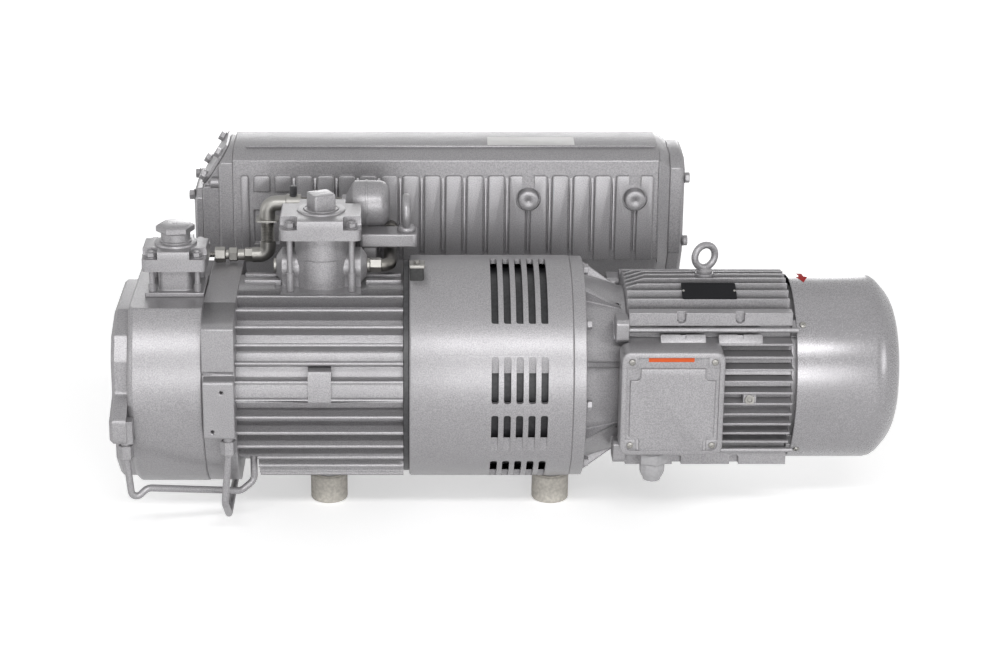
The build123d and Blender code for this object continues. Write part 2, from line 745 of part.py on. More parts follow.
def build_motor_frame():
    """Finned motor frame with foot pads, an eye bolt boss and a seat for the terminal box."""
    x0, x1 = X_FRAME, X_SHIELD
    body = extrude(across(x0) * frame_fins(), FRAME_L)
    over = FRAME_FIN_R + 1
    corners = [(x0, over), (x0 + FRAME_BEVEL_L, over), (x0, FRAME_FIN_R - FRAME_BEVEL_H)]
    wedge = make_face(Plane.XZ * Polyline(corners, close=True))
    for side in (0, 180):
        body -= Rot(side, 0, 0) * extrude(wedge, 2 * FRAME_FIN_R, both=True)
    for x in [x0 + step for step in PAD_SLOTS]:
        for sz in (-1, 1):
            zs = sorted((sz * (PAD_TOP_Z - 15), sz * (PAD_TOP_Z + 4)))
            slot = block(x - 6, x + 6, PAD_FRONT_Y - 1, PAD_FRONT_Y + 9, *zs)
            body -= chamfer(slot.edges().filter_by(Axis.Y), 3.5)
    body += post(FRAME_R - 4, FRAME_FIN_R + 2, EYE_COLLAR_R + 2, EYE_X, 0)
    boss_x, half = x0 + EARTH_BOSS_SETBACK, EARTH_BOSS_W / 2
    body += block(boss_x - half, boss_x + half, -FRAME_FIN_R + 2, -FRAME_R + 4, -2 - half, -2 + half)
    body -= block(x0, BOX_X0 + BOX_W, -FRAME_FIN_R - 1, BOX_BACK_Y, BOX_BOTTOM_Z, BOX_BOTTOM_Z + BOX_H)
    body -= rod(x0, x1, FRAME_R - FRAME_WALL)
    body -= post(FRAME_FIN_R - 16, FRAME_FIN_R + 2, EYE_WIRE_R + SLOT_CLEARANCE, EYE_X, 0)
    return body


def build_motor_end_shield():
    """Rear bearing shield with four lugs that carry the cowl and the tie rods."""
    x0 = X_SHIELD
    body = rod(x0, x0 + SHIELD_T, FRAME_R)
    body += rod(x0 + SHIELD_T, x0 + SHIELD_T + 10, MOTOR_BEARING_R + 12)
    for y, z in cowl_screw_places(COWL_R - COWL_WALL - 9):
        body += plate(x0, x0 + 20, lug_outline(y, z))
    for y, z in rod_places():
        body -= rod(x0, x0 + 8, ROD_R + SLOT_CLEARANCE, y, z)
    body &= rod(x0, x0 + 40, COWL_R - COWL_WALL)
    body -= rod(x0, x0 + SHIELD_T + 6, MOTOR_BEARING_R)
    body -= rod(x0, x0 + 40, MOTOR_SHAFT_R + 1)
    return body


def lug_outline(y, z):
    """Square lug around a point of the shield's rim, turned to face outwards."""
    length = sqrt(y * y + z * z)
    uy, uz = y / length, z / length
    corners = [(-24, -9), (9, -9), (9, 9), (-24, 9)]
    return [(y + a * uy - b * uz, z + a * uz + b * uy) for a, b in corners]


def cowl_screw_places(r):
    """(y, z) of the four cowl screws at a radius."""
    return [polar(angle, r) for angle in (45, 135, 225, 315)]


def cowl_profile(shrink):
    """(x, r) points of the cowl's outside, or of its inside when shrunk by the wall."""
    x_end = X_COWL + COWL_STRAIGHT_L
    r = COWL_R - shrink
    tip = X_TIP - shrink
    dome = tip - x_end
    return [
        (x_end, r),
        (x_end + dome * 0.54, r * 0.89),
        (x_end + dome * 0.8, r * 0.78),
        (x_end + dome * 0.95, r * 0.66),
        (tip, r * 0.47),
    ]


def build_fan_cowl():
    """Sheet steel fan cowl with a domed end and two rings of air slots."""
    r_in = COWL_R - COWL_WALL
    outer = turned([(X_COWL, 0), (X_COWL, COWL_R)] + cowl_profile(0) + [(X_TIP, 0)])
    inner = turned([(X_COWL, 0), (X_COWL, r_in)] + cowl_profile(COWL_WALL) + [(X_TIP_FACE, 0)])
    body = outer - inner
    cutters = []
    for r, count in COWL_SLOT_RINGS:
        half = 180 / count - degrees(COWL_BRIDGE / r) / 2
        for i in range(count):
            middle = i * 360 / count
            points = [polar(middle + turn, r - COWL_SLOT_W / 2) for turn in (-half, 0, half)]
            points += [polar(middle + turn, r + COWL_SLOT_W / 2) for turn in (half, 0, -half)]
            cutters.append(plate(X_TIP_FACE - 1, X_TIP + 1, points))
    return body - cutters


def build_motor_tie_rods():
    """Four long rods that clamp the motor between its adapter and its rear shield."""
    rods = []
    for y, z in rod_places():
        rods.append(rod(X_FRAME - 10, X_SHIELD + 8, ROD_R, y, z))
    return group(rods)


def build_terminal_box():
    """Open cast box on the motor's side."""
    x0, x1 = BOX_X0, BOX_X0 + BOX_W
    z0, z1 = BOX_BOTTOM_Z, BOX_BOTTOM_Z + BOX_H
    body = block(x0, x1, BOX_FRONT_Y + LID_T, BOX_BACK_Y, z0, z1)
    body = fillet(body.edges().filter_by(Axis.Y), BOX_CORNER_R)
    back = BOX_BACK_Y - BOX_WALL
    body -= block(x0 + BOX_WALL, x1 - BOX_WALL, BOX_FRONT_Y + LID_T, back, z0 + BOX_WALL, z1 - BOX_WALL)
    for x, z in lid_screw_places():
        body += block(x - 8, x + 8, BOX_FRONT_Y + LID_T, BOX_BACK_Y - 1, z - 8, z + 8)
    body -= post(z0, z0 + BOX_WALL, GLAND_BORE_R + GLAND_THREAD_T, GLAND_X, GLAND_Y)
    return body


def lid_screw_places():
    """(x, z) of the four lid screws."""
    margin = 14.0
    xs = (BOX_X0 + margin, BOX_X0 + BOX_W - margin)
    zs = (BOX_BOTTOM_Z + margin, BOX_BOTTOM_Z + BOX_H - margin)
    return [(x, z) for x in xs for z in zs]


def build_terminal_box_lid():
    """Lid with a raised middle and four lowered corners for its screws."""
    x0, x1 = BOX_X0, BOX_X0 + BOX_W
    z0, z1 = BOX_BOTTOM_Z, BOX_BOTTOM_Z + BOX_H
    body = block(x0, x1, BOX_FRONT_Y, BOX_FRONT_Y + LID_T, z0, z1)
    body = fillet(body.edges().filter_by(Axis.Y), BOX_CORNER_R)
    body = chamfer(body.faces().sort_by(Axis.Y)[0].edges(), 2.5)
    for x, z in lid_screw_places():
        sx = -1 if x < BOX_X0 + BOX_W / 2 else 1
        sz = -1 if z < BOX_BOTTOM_Z + BOX_H / 2 else 1
        cut = block(x - 9, x + 9, BOX_FRONT_Y - 1, BOX_FRONT_Y + LID_RECESS, z - 9, z + 9)
        body -= Pos(-sx, 0, -sz) * chamfer(cut.edges().filter_by(Axis.Y), 3.0)
    return body


def build_terminal_board():
    """Insulating board with six terminal studs inside the box."""
    y1 = BOX_BACK_Y - BOX_WALL
    cx = BOX_X0 + BOX_W / 2
    cz = BOX_BOTTOM_Z + BOX_H / 2
    board = block(cx - 34, cx + 34, y1 - 12, y1, cz - 22, cz + 22)
    for i in (-1, 0, 1):
        for z in (cz - 11, cz + 11):
            x = cx + i * 21
            board += block(x - 3, x + 3, y1 - 23, y1 - 12, z - 3, z + 3)
    return board


def build_cable_gland():
    """Cable gland below the terminal box: hexagon body, cap nut and a clamping bore."""
    top = BOX_BOTTOM_Z + BOX_WALL
    neck = post(BOX_BOTTOM_Z - 3, top, GLAND_BORE_R + GLAND_THREAD_T - SLOT_CLEARANCE, GLAND_X, GLAND_Y)
    nut = hexagon(BOX_BOTTOM_Z - 20, BOX_BOTTOM_Z, GLAND_AF, GLAND_X, GLAND_Y)
    cap = hexagon(BOX_BOTTOM_Z - GLAND_L + 6, BOX_BOTTOM_Z - 20, GLAND_AF - 5, GLAND_X, GLAND_Y, 30)
    tip = hexagon(BOX_BOTTOM_Z - GLAND_L, BOX_BOTTOM_Z - GLAND_L + 6, GLAND_AF - 10, GLAND_X, GLAND_Y, 30)
    body = neck + nut + cap + tip
    return body - post(BOX_BOTTOM_Z - GLAND_L, top, GLAND_BORE_R, GLAND_X, GLAND_Y)


def lifting_ring(x, y, z_seat, ring_r, wire_r, collar_r, shank, turn):
    """Eye bolt: ring of many flats with bevelled rims, collar and shank, standing on a seat."""
    collar_h = collar_r * 0.55
    ring_z = z_seat + collar_h + wire_r * 0.3 + ring_r
    outline = RegularPolygon(ring_r + wire_r, EYE_SIDES) - RegularPolygon(ring_r - wire_r, EYE_SIDES)
    eye = extrude(Plane.XZ * outline, wire_r, both=True)
    sides = eye.faces().sort_by(Axis.Y)
    eye = chamfer(sides[0].edges() + sides[-1].edges(), wire_r * 0.6)
    eye = Pos(x, y, ring_z) * Rot(0, 0, turn) * eye
    collar = post(z_seat, z_seat + collar_h, collar_r, x, y)
    return eye + collar + post(z_seat - shank, z_seat, wire_r, x, y)


def build_motor_eye_bolt():
    """Lifting eye on top of the motor, its ring turned a little from the front."""
    return lifting_ring(EYE_X, 0, FRAME_FIN_R + 2, EYE_RING_R, EYE_WIRE_R, EYE_COLLAR_R, 15.0, EYE_TURN)


def build_stator_core():
    """Laminated stator pack pressed into the frame."""
    x0 = X_FRAME + STATOR_X_OFFSET
    return prism_ring(x0, x0 + STATOR_L, STATOR_R, STATOR_BORE_R, 24)


def build_stator_windings():
    """Winding heads at both ends of the stator pack."""
    x0 = X_FRAME + STATOR_X_OFFSET
    x1 = x0 + STATOR_L
    heads = []
    for start in (x0 - WINDING_L, x1):
        r_out, r_in = STATOR_R - WINDING_INSET, STATOR_BORE_R + WINDING_INSET
        heads.append(prism_ring(start, start + WINDING_L, r_out, r_in, 24))
    return group(heads)


def separator_outline(inset):
    """(y, z) outline of the separator box, or of its inside when inset by the wall."""
    i = inset
    return [
        (SEP_FRONT_Y + i, SEP_WAIST_Z + i * 0.5),
        (SEP_FRONT_Y + i, SEP_SHOULDER_Z - i * 1.2),
        (SEP_RIDGE_Y + i * 0.4, SEP_RIDGE_Z - i),
        (SEP_CREST_Y, SEP_TOP_Z - i),
        (SEP_REAR_Y - 60, SEP_TOP_Z - i),
        (SEP_REAR_Y - i, SEP_TOP_Z - 44),
        (SEP_REAR_Y - i, SEP_WAIST_Z + i * 0.5),
        (SEP_SUMP_REAR_Y - i, SEP_WAIST_Z - 46),
        (SEP_SUMP_REAR_Y - i, SEP_BOTTOM_Z + i),
        (SEP_SUMP_FRONT_Y + i, SEP_BOTTOM_Z + i),
        (SEP_SUMP_FRONT_Y + i, SEP_WAIST_Z - 46),
    ]


def panel_x(i):
    """Left edge of raised panel i."""
    return PANEL_X0 + i * PANEL_PITCH


def build_separator_housing():
    """Ribbed oil separator box: raised panels, thin ribs between them, bosses and sump feet."""
    y0 = SEP_FRONT_Y
    x_bevel = SEP_X1 - SEP_END_BEVEL
    body = plate(SEP_X0, x_bevel, separator_outline(0))
    ends = [(x_bevel, separator_outline(0)), (SEP_X1, separator_outline(SEP_END_INSET))]
    body += loft([across(x) * make_face(Polyline(points, close=True)) for x, points in ends], ruled=True)
    z0, z1 = SEP_WAIST_Z, PANEL_TOP_Z
    relief = []
    bosses = []
    for i in BOSS_PANELS:
        x = panel_x(i + 1) - (PANEL_PITCH - PANEL_W) / 2
        spot = Plane(origin=(x, y0, BOSS_Z), z_dir=(0, -1, 0))
        arch = Plane(origin=(x, y0, BOSS_Z + BOSS_RELIEF_UP), z_dir=(0, -1, 0)) * Circle(BOSS_RELIEF_R)
        relief.append(extrude(arch, 30))
        bosses.append(extrude(spot * Circle(BOSS_R), BOSS_PROUD))
    panels = []
    for i in range(PANEL_COUNT):
        x = panel_x(i)
        panels.append(block(x, x + PANEL_W, y0 - PANEL_RAISE, y0, z0, z1))
        rib_x = x - (PANEL_PITCH - PANEL_W) / 2
        panels.append(block(rib_x - RIB_W / 2, rib_x + RIB_W / 2, y0 - RIB_RAISE, y0, RIB_BOTTOM_Z, z1))
    square = PANEL_W
    for x in (PANEL_X0 - PANEL_PITCH, PANEL_X0 - 2 * PANEL_PITCH):
        panels.append(block(x, x + square, y0 - PANEL_RAISE, y0, z1 - square, z1))
    x = PANEL_X0 - 2 * PANEL_PITCH - (PANEL_PITCH - PANEL_W) - EDGE_PANEL_W
    panels.append(block(x, x + EDGE_PANEL_W, y0 - PANEL_RAISE, y0, z0, z1))
    raised = group(panels)
    body = body.fuse(*raised.solids())
    body -= relief
    body += bosses
    body -= block(PANEL_X0 - 2 * PANEL_PITCH, PANEL_X0 - 26, y0 - 1, y0 + SEP_WALL - 2, 122, 172)
    body -= plate(SEP_X0, x_bevel, separator_outline(SEP_WALL))
    body -= plate(x_bevel, SEP_X1, separator_outline(SEP_END_INSET + SEP_WALL))
    for x in (-FOOT_PITCH_X / 2, FOOT_PITCH_X / 2):
        body += foot_boss(x, FOOT_PITCH_Y, SEP_BOTTOM_Z)
    return body


def cover_bolt_places():
    """(y, z) of the right cover's bolts."""
    edge = SEP_END_INSET + 10
    return [
        (SEP_FRONT_Y + edge, 120),
        (SEP_FRONT_Y + edge, 215),
        (SEP_REAR_Y - edge, 120),
        (SEP_REAR_Y - edge, 195),
        (SEP_SUMP_FRONT_Y + edge, SEP_BOTTOM_Z + edge),
        (SEP_SUMP_REAR_Y - edge, SEP_BOTTOM_Z + edge),
    ]


def build_separator_right_cover():
    """Right end cover with a bevelled rim."""
    x0, x1 = SEP_X1, SEP_X1 + SEP_COVER_T
    body = plate(x0, x1, separator_outline(SEP_END_INSET))
    return chamfer(body.faces().sort_by(Axis.X)[-1].edges(), 5.0)


def hood_slope():
    """Plane of the hood's slanted face: x up the slope, y along the row's +Y."""
    a = radians(HOOD_SLOPE_DEG)
    foot = (X_NECK, EXHAUST_Y, HOOD_SLOPE_Z)
    return Plane(origin=foot, x_dir=(cos(a), 0, sin(a)), z_dir=(-sin(a), 0, cos(a)))


def hood_bolt_places():
    """(up the slope, across) of the slanted lid's bolts."""
    v = HOOD_LID_W / 2 - 10
    return [(u, side * v) for u in (14.0, HOOD_LID_L - 12.0) for side in (-1, 1)]


def exhaust_bolt_places():
    """(y, z) of the exhaust flange's bolts, one near each corner."""
    dy = EXHAUST_PLATE_W / 2 - 10
    dz = EXHAUST_PLATE_H / 2 - 9
    return [(EXHAUST_Y + sy * dy, EXHAUST_Z + sz * dz) for sy in (-1, 1) for sz in (-1, 1)]


def build_separator_left_cover():
    """Left end cover with a hood: slanted upper face, level ledge and the exhaust port's neck."""
    x1 = SEP_X0
    x0 = x1 - LEFT_COVER_T
    y0, y1 = EXHAUST_Y - EXHAUST_PLATE_W / 2, EXHAUST_Y + EXHAUST_PLATE_W / 2
    body = plate(x0, x1, separator_outline(LEFT_COVER_INSET))
    body = chamfer(body.faces().sort_by(Axis.X)[0].edges(), 2.0)
    body += block(X_NECK, x0 + 3, y0, y1, EXHAUST_Z - EXHAUST_PLATE_H / 2, HOOD_LEDGE_Z)
    half = HOOD_LID_W / 2
    body += block(X_NECK, x0 + 3, EXHAUST_Y - half, EXHAUST_Y + half, HOOD_LEDGE_Z - 1, SEP_RIDGE_Z)
    body -= extrude(hood_slope() * Rectangle(300, 300), 100)
    body += rod(x0 - 13, x0 + 3, 7.0, y0 + 1, HOOD_LEDGE_Z + 6)
    # shallow chamber that joins both cartridges to the outlet bore
    reach = FILTER_PITCH_Y / 2 + FILTER_R - FILTER_WALL
    half = FILTER_R - FILTER_WALL - 4
    body -= block(x1 - 10, x1, EXHAUST_Y - reach, EXHAUST_Y + reach, EXHAUST_Z - half, EXHAUST_Z + half)
    return body - rod(X_NECK, x1, EXHAUST_BORE_R, EXHAUST_Y, EXHAUST_Z)


def build_exhaust_plate():
    """Upright exhaust flange with the outlet bore, and the thin lid on the hood's slanted face."""
    x0 = X_NECK - EXHAUST_PLATE_T
    y, z = EXHAUST_PLATE_W / 2, EXHAUST_PLATE_H / 2
    body = block(x0, X_NECK, EXHAUST_Y - y, EXHAUST_Y + y, EXHAUST_Z - z, EXHAUST_Z + z)
    body = chamfer(body.edges().filter_by(Axis.X), 12.0)
    body = chamfer(body.faces().sort_by(Axis.X)[0].edges(), 3.0)
    body -= rod(x0, X_NECK, EXHAUST_BORE_R, EXHAUST_Y, EXHAUST_Z)
    outline = chamfer(Rectangle(HOOD_LID_L, HOOD_LID_W).vertices(), 16.0)
    lid = extrude(hood_slope() * Pos(HOOD_LID_L / 2 + 2, 0) * outline, HOOD_LID_T)
    return group([body, lid])


def build_exhaust_filters():
    """Two coalescing cartridges that stand on the left cover inside the box."""
    tubes = []
    for side in (-1, 1):
        y = EXHAUST_Y + side * FILTER_PITCH_Y / 2
        x1 = SEP_X0 + FILTER_L
        body = prism_ring(SEP_X0, x1 - FILTER_CAP_T, FILTER_R, FILTER_R - FILTER_WALL, 16, y, FILTER_Z)
        tubes.append(body + prism(x1 - FILTER_CAP_T, x1, FILTER_R, 16, y, FILTER_Z))
    return group(tubes)


def build_oil_filter():
    """Screw-on oil filter can below the exhaust plate, with a domed end."""
    x1 = SEP_X0 - LEFT_COVER_T
    y = (SEP_SUMP_FRONT_Y + SEP_SUMP_REAR_Y) / 2
    can = rod(x1 - OIL_FILTER_L, x1, OIL_FILTER_R, y, OIL_FILTER_Z)
    return chamfer(can.edges().filter_by(GeomType.CIRCLE).group_by(Axis.X)[0], OIL_FILTER_R * 0.22)


def build_sight_glass():
    """Oil level window in its screwed ring on the back of the sump."""
    spot = Plane(origin=(SIGHT_X, SEP_SUMP_REAR_Y, SIGHT_Z), z_dir=(0, 1, 0))
    rim = extrude(spot * (RegularPolygon(SIGHT_R, 24) - RegularPolygon(SIGHT_R * 0.62, 24)), SIGHT_T)
    pane = extrude(spot * RegularPolygon(SIGHT_R * 0.62, 24), SIGHT_T * 0.6)
    return group([rim, pane])


def side_plug(x, y, z, direction, r, thickness):
    """Round screw plug on a wall, with a hexagon socket."""
    spot = Plane(origin=(x, y, z), z_dir=direction)
    head = extrude(spot * Circle(r), thickness)
    socket = extrude(spot.offset(thickness) * RegularPolygon(r * 0.45, 6), -thickness * 0.6)
    return head - socket


def build_screw_plugs():
    """Screw plugs: two beside the inlet, oil filler and drain behind, one on the ballast cover."""
    half = INLET_CROSS_L / 2
    plugs = [
        side_plug(INLET_X - half, INLET_Y, INLET_CROSS_Z, (-1, 0, 0), SIDE_PLUG_R, SIDE_PLUG_T),
        side_plug(INLET_X + half, INLET_Y, INLET_CROSS_Z, (1, 0, 0), SIDE_PLUG_R, SIDE_PLUG_T),
        side_plug(FILLER_X, SEP_REAR_Y, FILLER_Z, (0, 1, 0), FILLER_R, SIGHT_T),
        side_plug(SIGHT_X, SEP_SUMP_REAR_Y, DRAIN_Z, (0, 1, 0), SIDE_PLUG_R, SIDE_PLUG_T),
    ]
    x_side = BALLAST_X - BALLAST_SIZE / 2
    plugs.append(side_plug(x_side, BALLAST_Y, BALLAST_COVER_Z + 7, (-1, 0, 0), 5.0, 3.0))
    return group(plugs)


def build_float_valve():
    """Float valve seat in the sump, with two ears and the float arm's pin."""
    y0 = SEP_SUMP_FRONT_Y + SEP_WALL
    y_pin = y0 + FLOAT_PIN_OUT
    body = block(FLOAT_X - 16, FLOAT_X + 16, y0, y0 + 8, FLOAT_Z - 12, FLOAT_Z + 12)
    for side in (-1, 1):
        x = FLOAT_X + side * 13
        body += block(x - 3, x + 3, y0, y_pin + 6, FLOAT_Z - 7, FLOAT_Z + 7)
    return body + rod(FLOAT_X - 16, FLOAT_X + 16, FLOAT_PIN_R, y_pin, FLOAT_Z)


def build_float_arm():
    """Twelve-sided float drum and the arm that hangs on the float valve's pin."""
    y_pin = SEP_SUMP_FRONT_Y + SEP_WALL + FLOAT_PIN_OUT
    half = 10 - RUNNING_GAP
    body = rod(FLOAT_X - half, FLOAT_X + half, 7.0, y_pin, FLOAT_Z)
    body += block(FLOAT_X - 4, FLOAT_X + 4, y_pin, y_pin + FLOAT_REACH, FLOAT_Z - 3, FLOAT_Z + 3)
    body += prism(FLOAT_X - FLOAT_R, FLOAT_X + FLOAT_R, FLOAT_R, 12, y_pin + FLOAT_REACH, FLOAT_Z)
    return body - rod(FLOAT_X - half, FLOAT_X + half, FLOAT_PIN_R + SHAFT_CLEARANCE, y_pin, FLOAT_Z)


def build_inlet_body():
    """Inlet tower: square base, round column, cross-drilled side lobes and the valve bore."""
    half = INLET_SIZE / 2
    z0, z1 = INLET_SEAT_Z, INLET_COVER_Z
    box = (INLET_X - half, INLET_X + half, INLET_Y - half, INLET_Y + half)
    body = block(*box, z0, z0 + INLET_BASE_T)
    body += post(z0, z1, INLET_BODY_R, INLET_X, INLET_Y)
    body += post(z0, INLET_STEP_Z, INLET_BODY_R + 2, INLET_X, INLET_Y)
    arm = INLET_CROSS_L / 2
    inner = half - 1
    arm_outline = [(-arm, 0), (-arm, SIDE_BOSS_R), (-inner, INLET_CROSS_R)]
    arm_outline += [(inner, INLET_CROSS_R), (arm, SIDE_BOSS_R), (arm, 0)]
    body += Pos(INLET_X, INLET_Y, INLET_CROSS_Z) * turned(arm_outline)
    foot = INLET_CROSS_R * 0.9
    skirt = block(INLET_X - inner, INLET_X + inner, INLET_Y - foot, INLET_Y + foot, z0, INLET_CROSS_Z)
    body += skirt
    body -= post(SCREEN_Z, z1, VALVE_BORE_R, INLET_X, INLET_Y)
    return body - post(z0, SCREEN_Z, INLET_BORE_R, INLET_X, INLET_Y)


def square_cover(x, y, z, size, thickness, pocket, pocket_t, bevel):
    """Square cover plate with bevelled corners and a lowered pocket at each corner."""
    half = size / 2
    cover = block(x - half, x + half, y - half, y + half, z, z + thickness)
    cover = chamfer(cover.edges().filter_by(Axis.Z), bevel)
    for sx in (-1, 1):
        for sy in (-1, 1):
            cx = x + sx * (half - pocket / 2 + 1)
            cy = y + sy * (half - pocket / 2 + 1)
            reach = pocket / 2 + 1
            low = z + thickness - pocket_t
            cover -= block(cx - reach, cx + reach, cy - reach, cy + reach, low, z + thickness + 1)
    return cover


def stud_places(x, y, pitch):
    """(x, y) of four studs on a square."""
    return [(x + sx * pitch / 2, y + sy * pitch / 2) for sx in (-1, 1) for sy in (-1, 1)]


def build_inlet_cover():
    """Inlet flange with a threaded port, a raised ring around it and four stud pockets."""
    z0 = INLET_COVER_Z
    top = z0 + INLET_COVER_T
    body = square_cover(INLET_X, INLET_Y, z0, INLET_SIZE, INLET_COVER_T, INLET_POCKET, INLET_POCKET_T, 7.0)
    body += post(z0, top + 2, INLET_BORE_R + 9, INLET_X, INLET_Y)
    for x, y in stud_places(INLET_X, INLET_Y, INLET_STUD_PITCH):
        body -= stud(z0, top, INLET_STUD_R + BOLT_CLEARANCE, x, y)
    return body - post(z0, top + 3, INLET_BORE_R, INLET_X, INLET_Y)


def build_inlet_plug():
    """Screw plug of the inlet port with a square head."""
    top = INLET_COVER_Z + INLET_COVER_T + 2
    body = post(top - 20, top, INLET_BORE_R - SLOT_CLEARANCE, INLET_X, INLET_Y)
    head = Rot(0, 0, PLUG_TURN) * Box(PLUG_SQUARE, PLUG_SQUARE, PLUG_H)
    head = Pos(INLET_X, INLET_Y, top + PLUG_H / 2) * head
    return body + chamfer(head.faces().sort_by(Axis.Z)[-1].edges(), 1.5)


def build_cover_studs():
    """Studs with hexagon nuts that hold the inlet cover and the gas ballast cover."""
    studs = []
    seat = INLET_COVER_Z + INLET_COVER_T - INLET_POCKET_T
    for x, y in stud_places(INLET_X, INLET_Y, INLET_STUD_PITCH):
        studs.append(
            stud(INLET_SEAT_Z + INLET_BASE_T, seat, INLET_STUD_R, x, y)
            + hexagon(seat, seat + BOLT_HEAD_T, BOLT_HEAD_AF, x, y, 15)
        )
    seat = BALLAST_COVER_Z + BALLAST_COVER_T - BALLAST_POCKET_T
    for x, y in stud_places(BALLAST_X, BALLAST_Y, BALLAST_STUD_PITCH):
        studs.append(
            stud(DRUM_TOP_Z + BALLAST_BASE_T, seat, BOLT_R, x, y)
            + hexagon(seat, seat + BOLT_HEAD_T, BOLT_HEAD_AF, x, y, 0)
        )
    return group(studs)


def build_inlet_screen():
    """Perforated disc below the valve that keeps dirt out and carries the spring."""
    body = post(SCREEN_Z, SCREEN_Z + SCREEN_T, VALVE_BORE_R, INLET_X, INLET_Y)
    for i in range(-2, 3):
        x = INLET_X + i * SCREEN_PITCH
        reach = SCREEN_SLOT_L / 2 - abs(i) * 2
        body -= block(x - 1.5, x + 1.5, INLET_Y - reach, INLET_Y + reach, SCREEN_Z, SCREEN_Z + SCREEN_T)
    return body


def build_valve_disc():
    """Non-return valve disc just below the inlet cover, with a guide stem."""
    top = INLET_COVER_Z - RUNNING_GAP
    body = post(top - VALVE_DISC_T, top, VALVE_DISC_R, INLET_X, INLET_Y)
    return body + post(top - VALVE_DISC_T - 8, top - VALVE_DISC_T, 9.0, INLET_X, INLET_Y)


def build_valve_spring():
    """Coil spring between the screen and the valve disc, of short straight steps of square wire."""
    z0 = SCREEN_Z + SCREEN_T + SPRING_WIRE_R + SHAFT_CLEARANCE
    z1 = INLET_COVER_Z - RUNNING_GAP - VALVE_DISC_T - SPRING_WIRE_R - RUNNING_GAP
    steps = SPRING_TURNS * SPRING_STEPS
    coil = []
    for i in range(steps + 1):
        angle = 2 * pi * i / SPRING_STEPS
        x, y = INLET_X + SPRING_R * cos(angle), INLET_Y + SPRING_R * sin(angle)
        coil.append((x, y, z0 + (z1 - z0) * i / steps))
    path = Polyline(*coil)
    section = Plane(origin=path @ 0, z_dir=path % 0) * RegularPolygon(SPRING_WIRE_R, 4)
    return sweep(section, path=path, transition=Transition.RIGHT)


def build_ballast_body():
    """Gas ballast block: base plate, rounded body and the vent line's port."""
    z0, z1 = DRUM_TOP_Z, BALLAST_COVER_Z
    half = BALLAST_SIZE / 2 - 3
    x, y = BALLAST_X, BALLAST_Y
    body = block(x - half, x + half, y - half, y + half, z0, z0 + BALLAST_BASE_T)
    core = BALLAST_STUD_PITCH / 2 - BOLT_R - 4
    inner = block(x - core, x + core, y - core - 8, y + core + 8, z0, z1)
    body += fillet(inner.edges().filter_by(Axis.Z), 9.0)
    port = Plane(origin=(VENT_PORT_X, BALLAST_Y, VENT_Z), z_dir=(0, 1, 0)) * Circle(VENT_TUBE_R + 5)
    return body + extrude(port, BALLAST_SIZE / 2)


def build_ballast_cover():
    """Square cover of the gas ballast block with a round collar."""
    z0, thickness = BALLAST_COVER_Z, BALLAST_COVER_T
    pocket = (BALLAST_POCKET, BALLAST_POCKET_T)
    body = square_cover(BALLAST_X, BALLAST_Y, z0, BALLAST_SIZE, thickness, *pocket, 6.0)
    top = z0 + thickness
    body += post(top - BALLAST_POCKET_T, top + 3, BALLAST_COLLAR_R, BALLAST_X, BALLAST_Y)
    for x, y in stud_places(BALLAST_X, BALLAST_Y, BALLAST_STUD_PITCH):
        body -= stud(BALLAST_COVER_Z, top + 3, BOLT_R + BOLT_CLEARANCE, x, y)
    return body


def build_ballast_plug():
    """Screw cap of the gas ballast block: round neck and hexagon head with a centre dimple."""
    z0 = BALLAST_COVER_Z + BALLAST_COVER_T + 3
    body = post(z0, z0 + 14, BALLAST_PLUG_R, BALLAST_X, BALLAST_Y)
    head = hexagon(z0 + 14, z0 + 25, BALLAST_PLUG_AF, BALLAST_X, BALLAST_Y, 8)
    body += chamfer(head.faces().sort_by(Axis.Z)[-1].edges(), 2.0)
    return body - post(z0 + 22, z0 + 26, 3.0, BALLAST_X, BALLAST_Y)


def bent_tube(points, r, bends):
    """Rigid tube of eight sides along straight runs joined by tangent arcs."""
    path = FilletPolyline(*points, radius=bends)
    section = Plane(origin=path @ 0, z_dir=path % 0) * RegularPolygon(r, 8, rotation=22.5)
    return sweep(section, path=path)


def side_line():
    """Short elbow line from the inlet body's right port back to the separator."""
    x0 = INLET_X + INLET_CROSS_L / 2 + SIDE_PLUG_T + SIDE_NUT_L
    y1 = SEP_FRONT_Y - PANEL_RAISE
    z = INLET_CROSS_Z
    points = [(x0, INLET_Y, z), (SIDE_LINE_X, INLET_Y, z), (SIDE_LINE_X, y1, z)]
    return bent_tube(points, SIDE_LINE_R, 11.0)


def build_vent_pipe():
    """Vent lines: thin tube and threaded pipe up to the air filter, and the inlet body's side line."""
    port_y = BALLAST_Y + BALLAST_SIZE / 2
    thin = bent_tube(
        [(VENT_PORT_X, port_y, VENT_Z), (VENT_PORT_X, VENT_Y, VENT_Z), (VENT_NUT_X, VENT_Y, VENT_Z)],
        VENT_TUBE_R,
        18.0,
    )
    elbow_x = VENT_NUT_X + VENT_NUTS_L
    thick = bent_tube(
        [
            (elbow_x, VENT_Y, VENT_Z),
            (VENT_RISER_X, VENT_Y, VENT_Z),
            (VENT_RISER_X, VENT_Y, VENT_TOP_Z),
            (DOME_X0 - DOME_NECK_L, VENT_Y, VENT_TOP_Z),
        ],
        VENT_PIPE_R,
        13.0,
    )
    return group([thin, thick, side_line()])


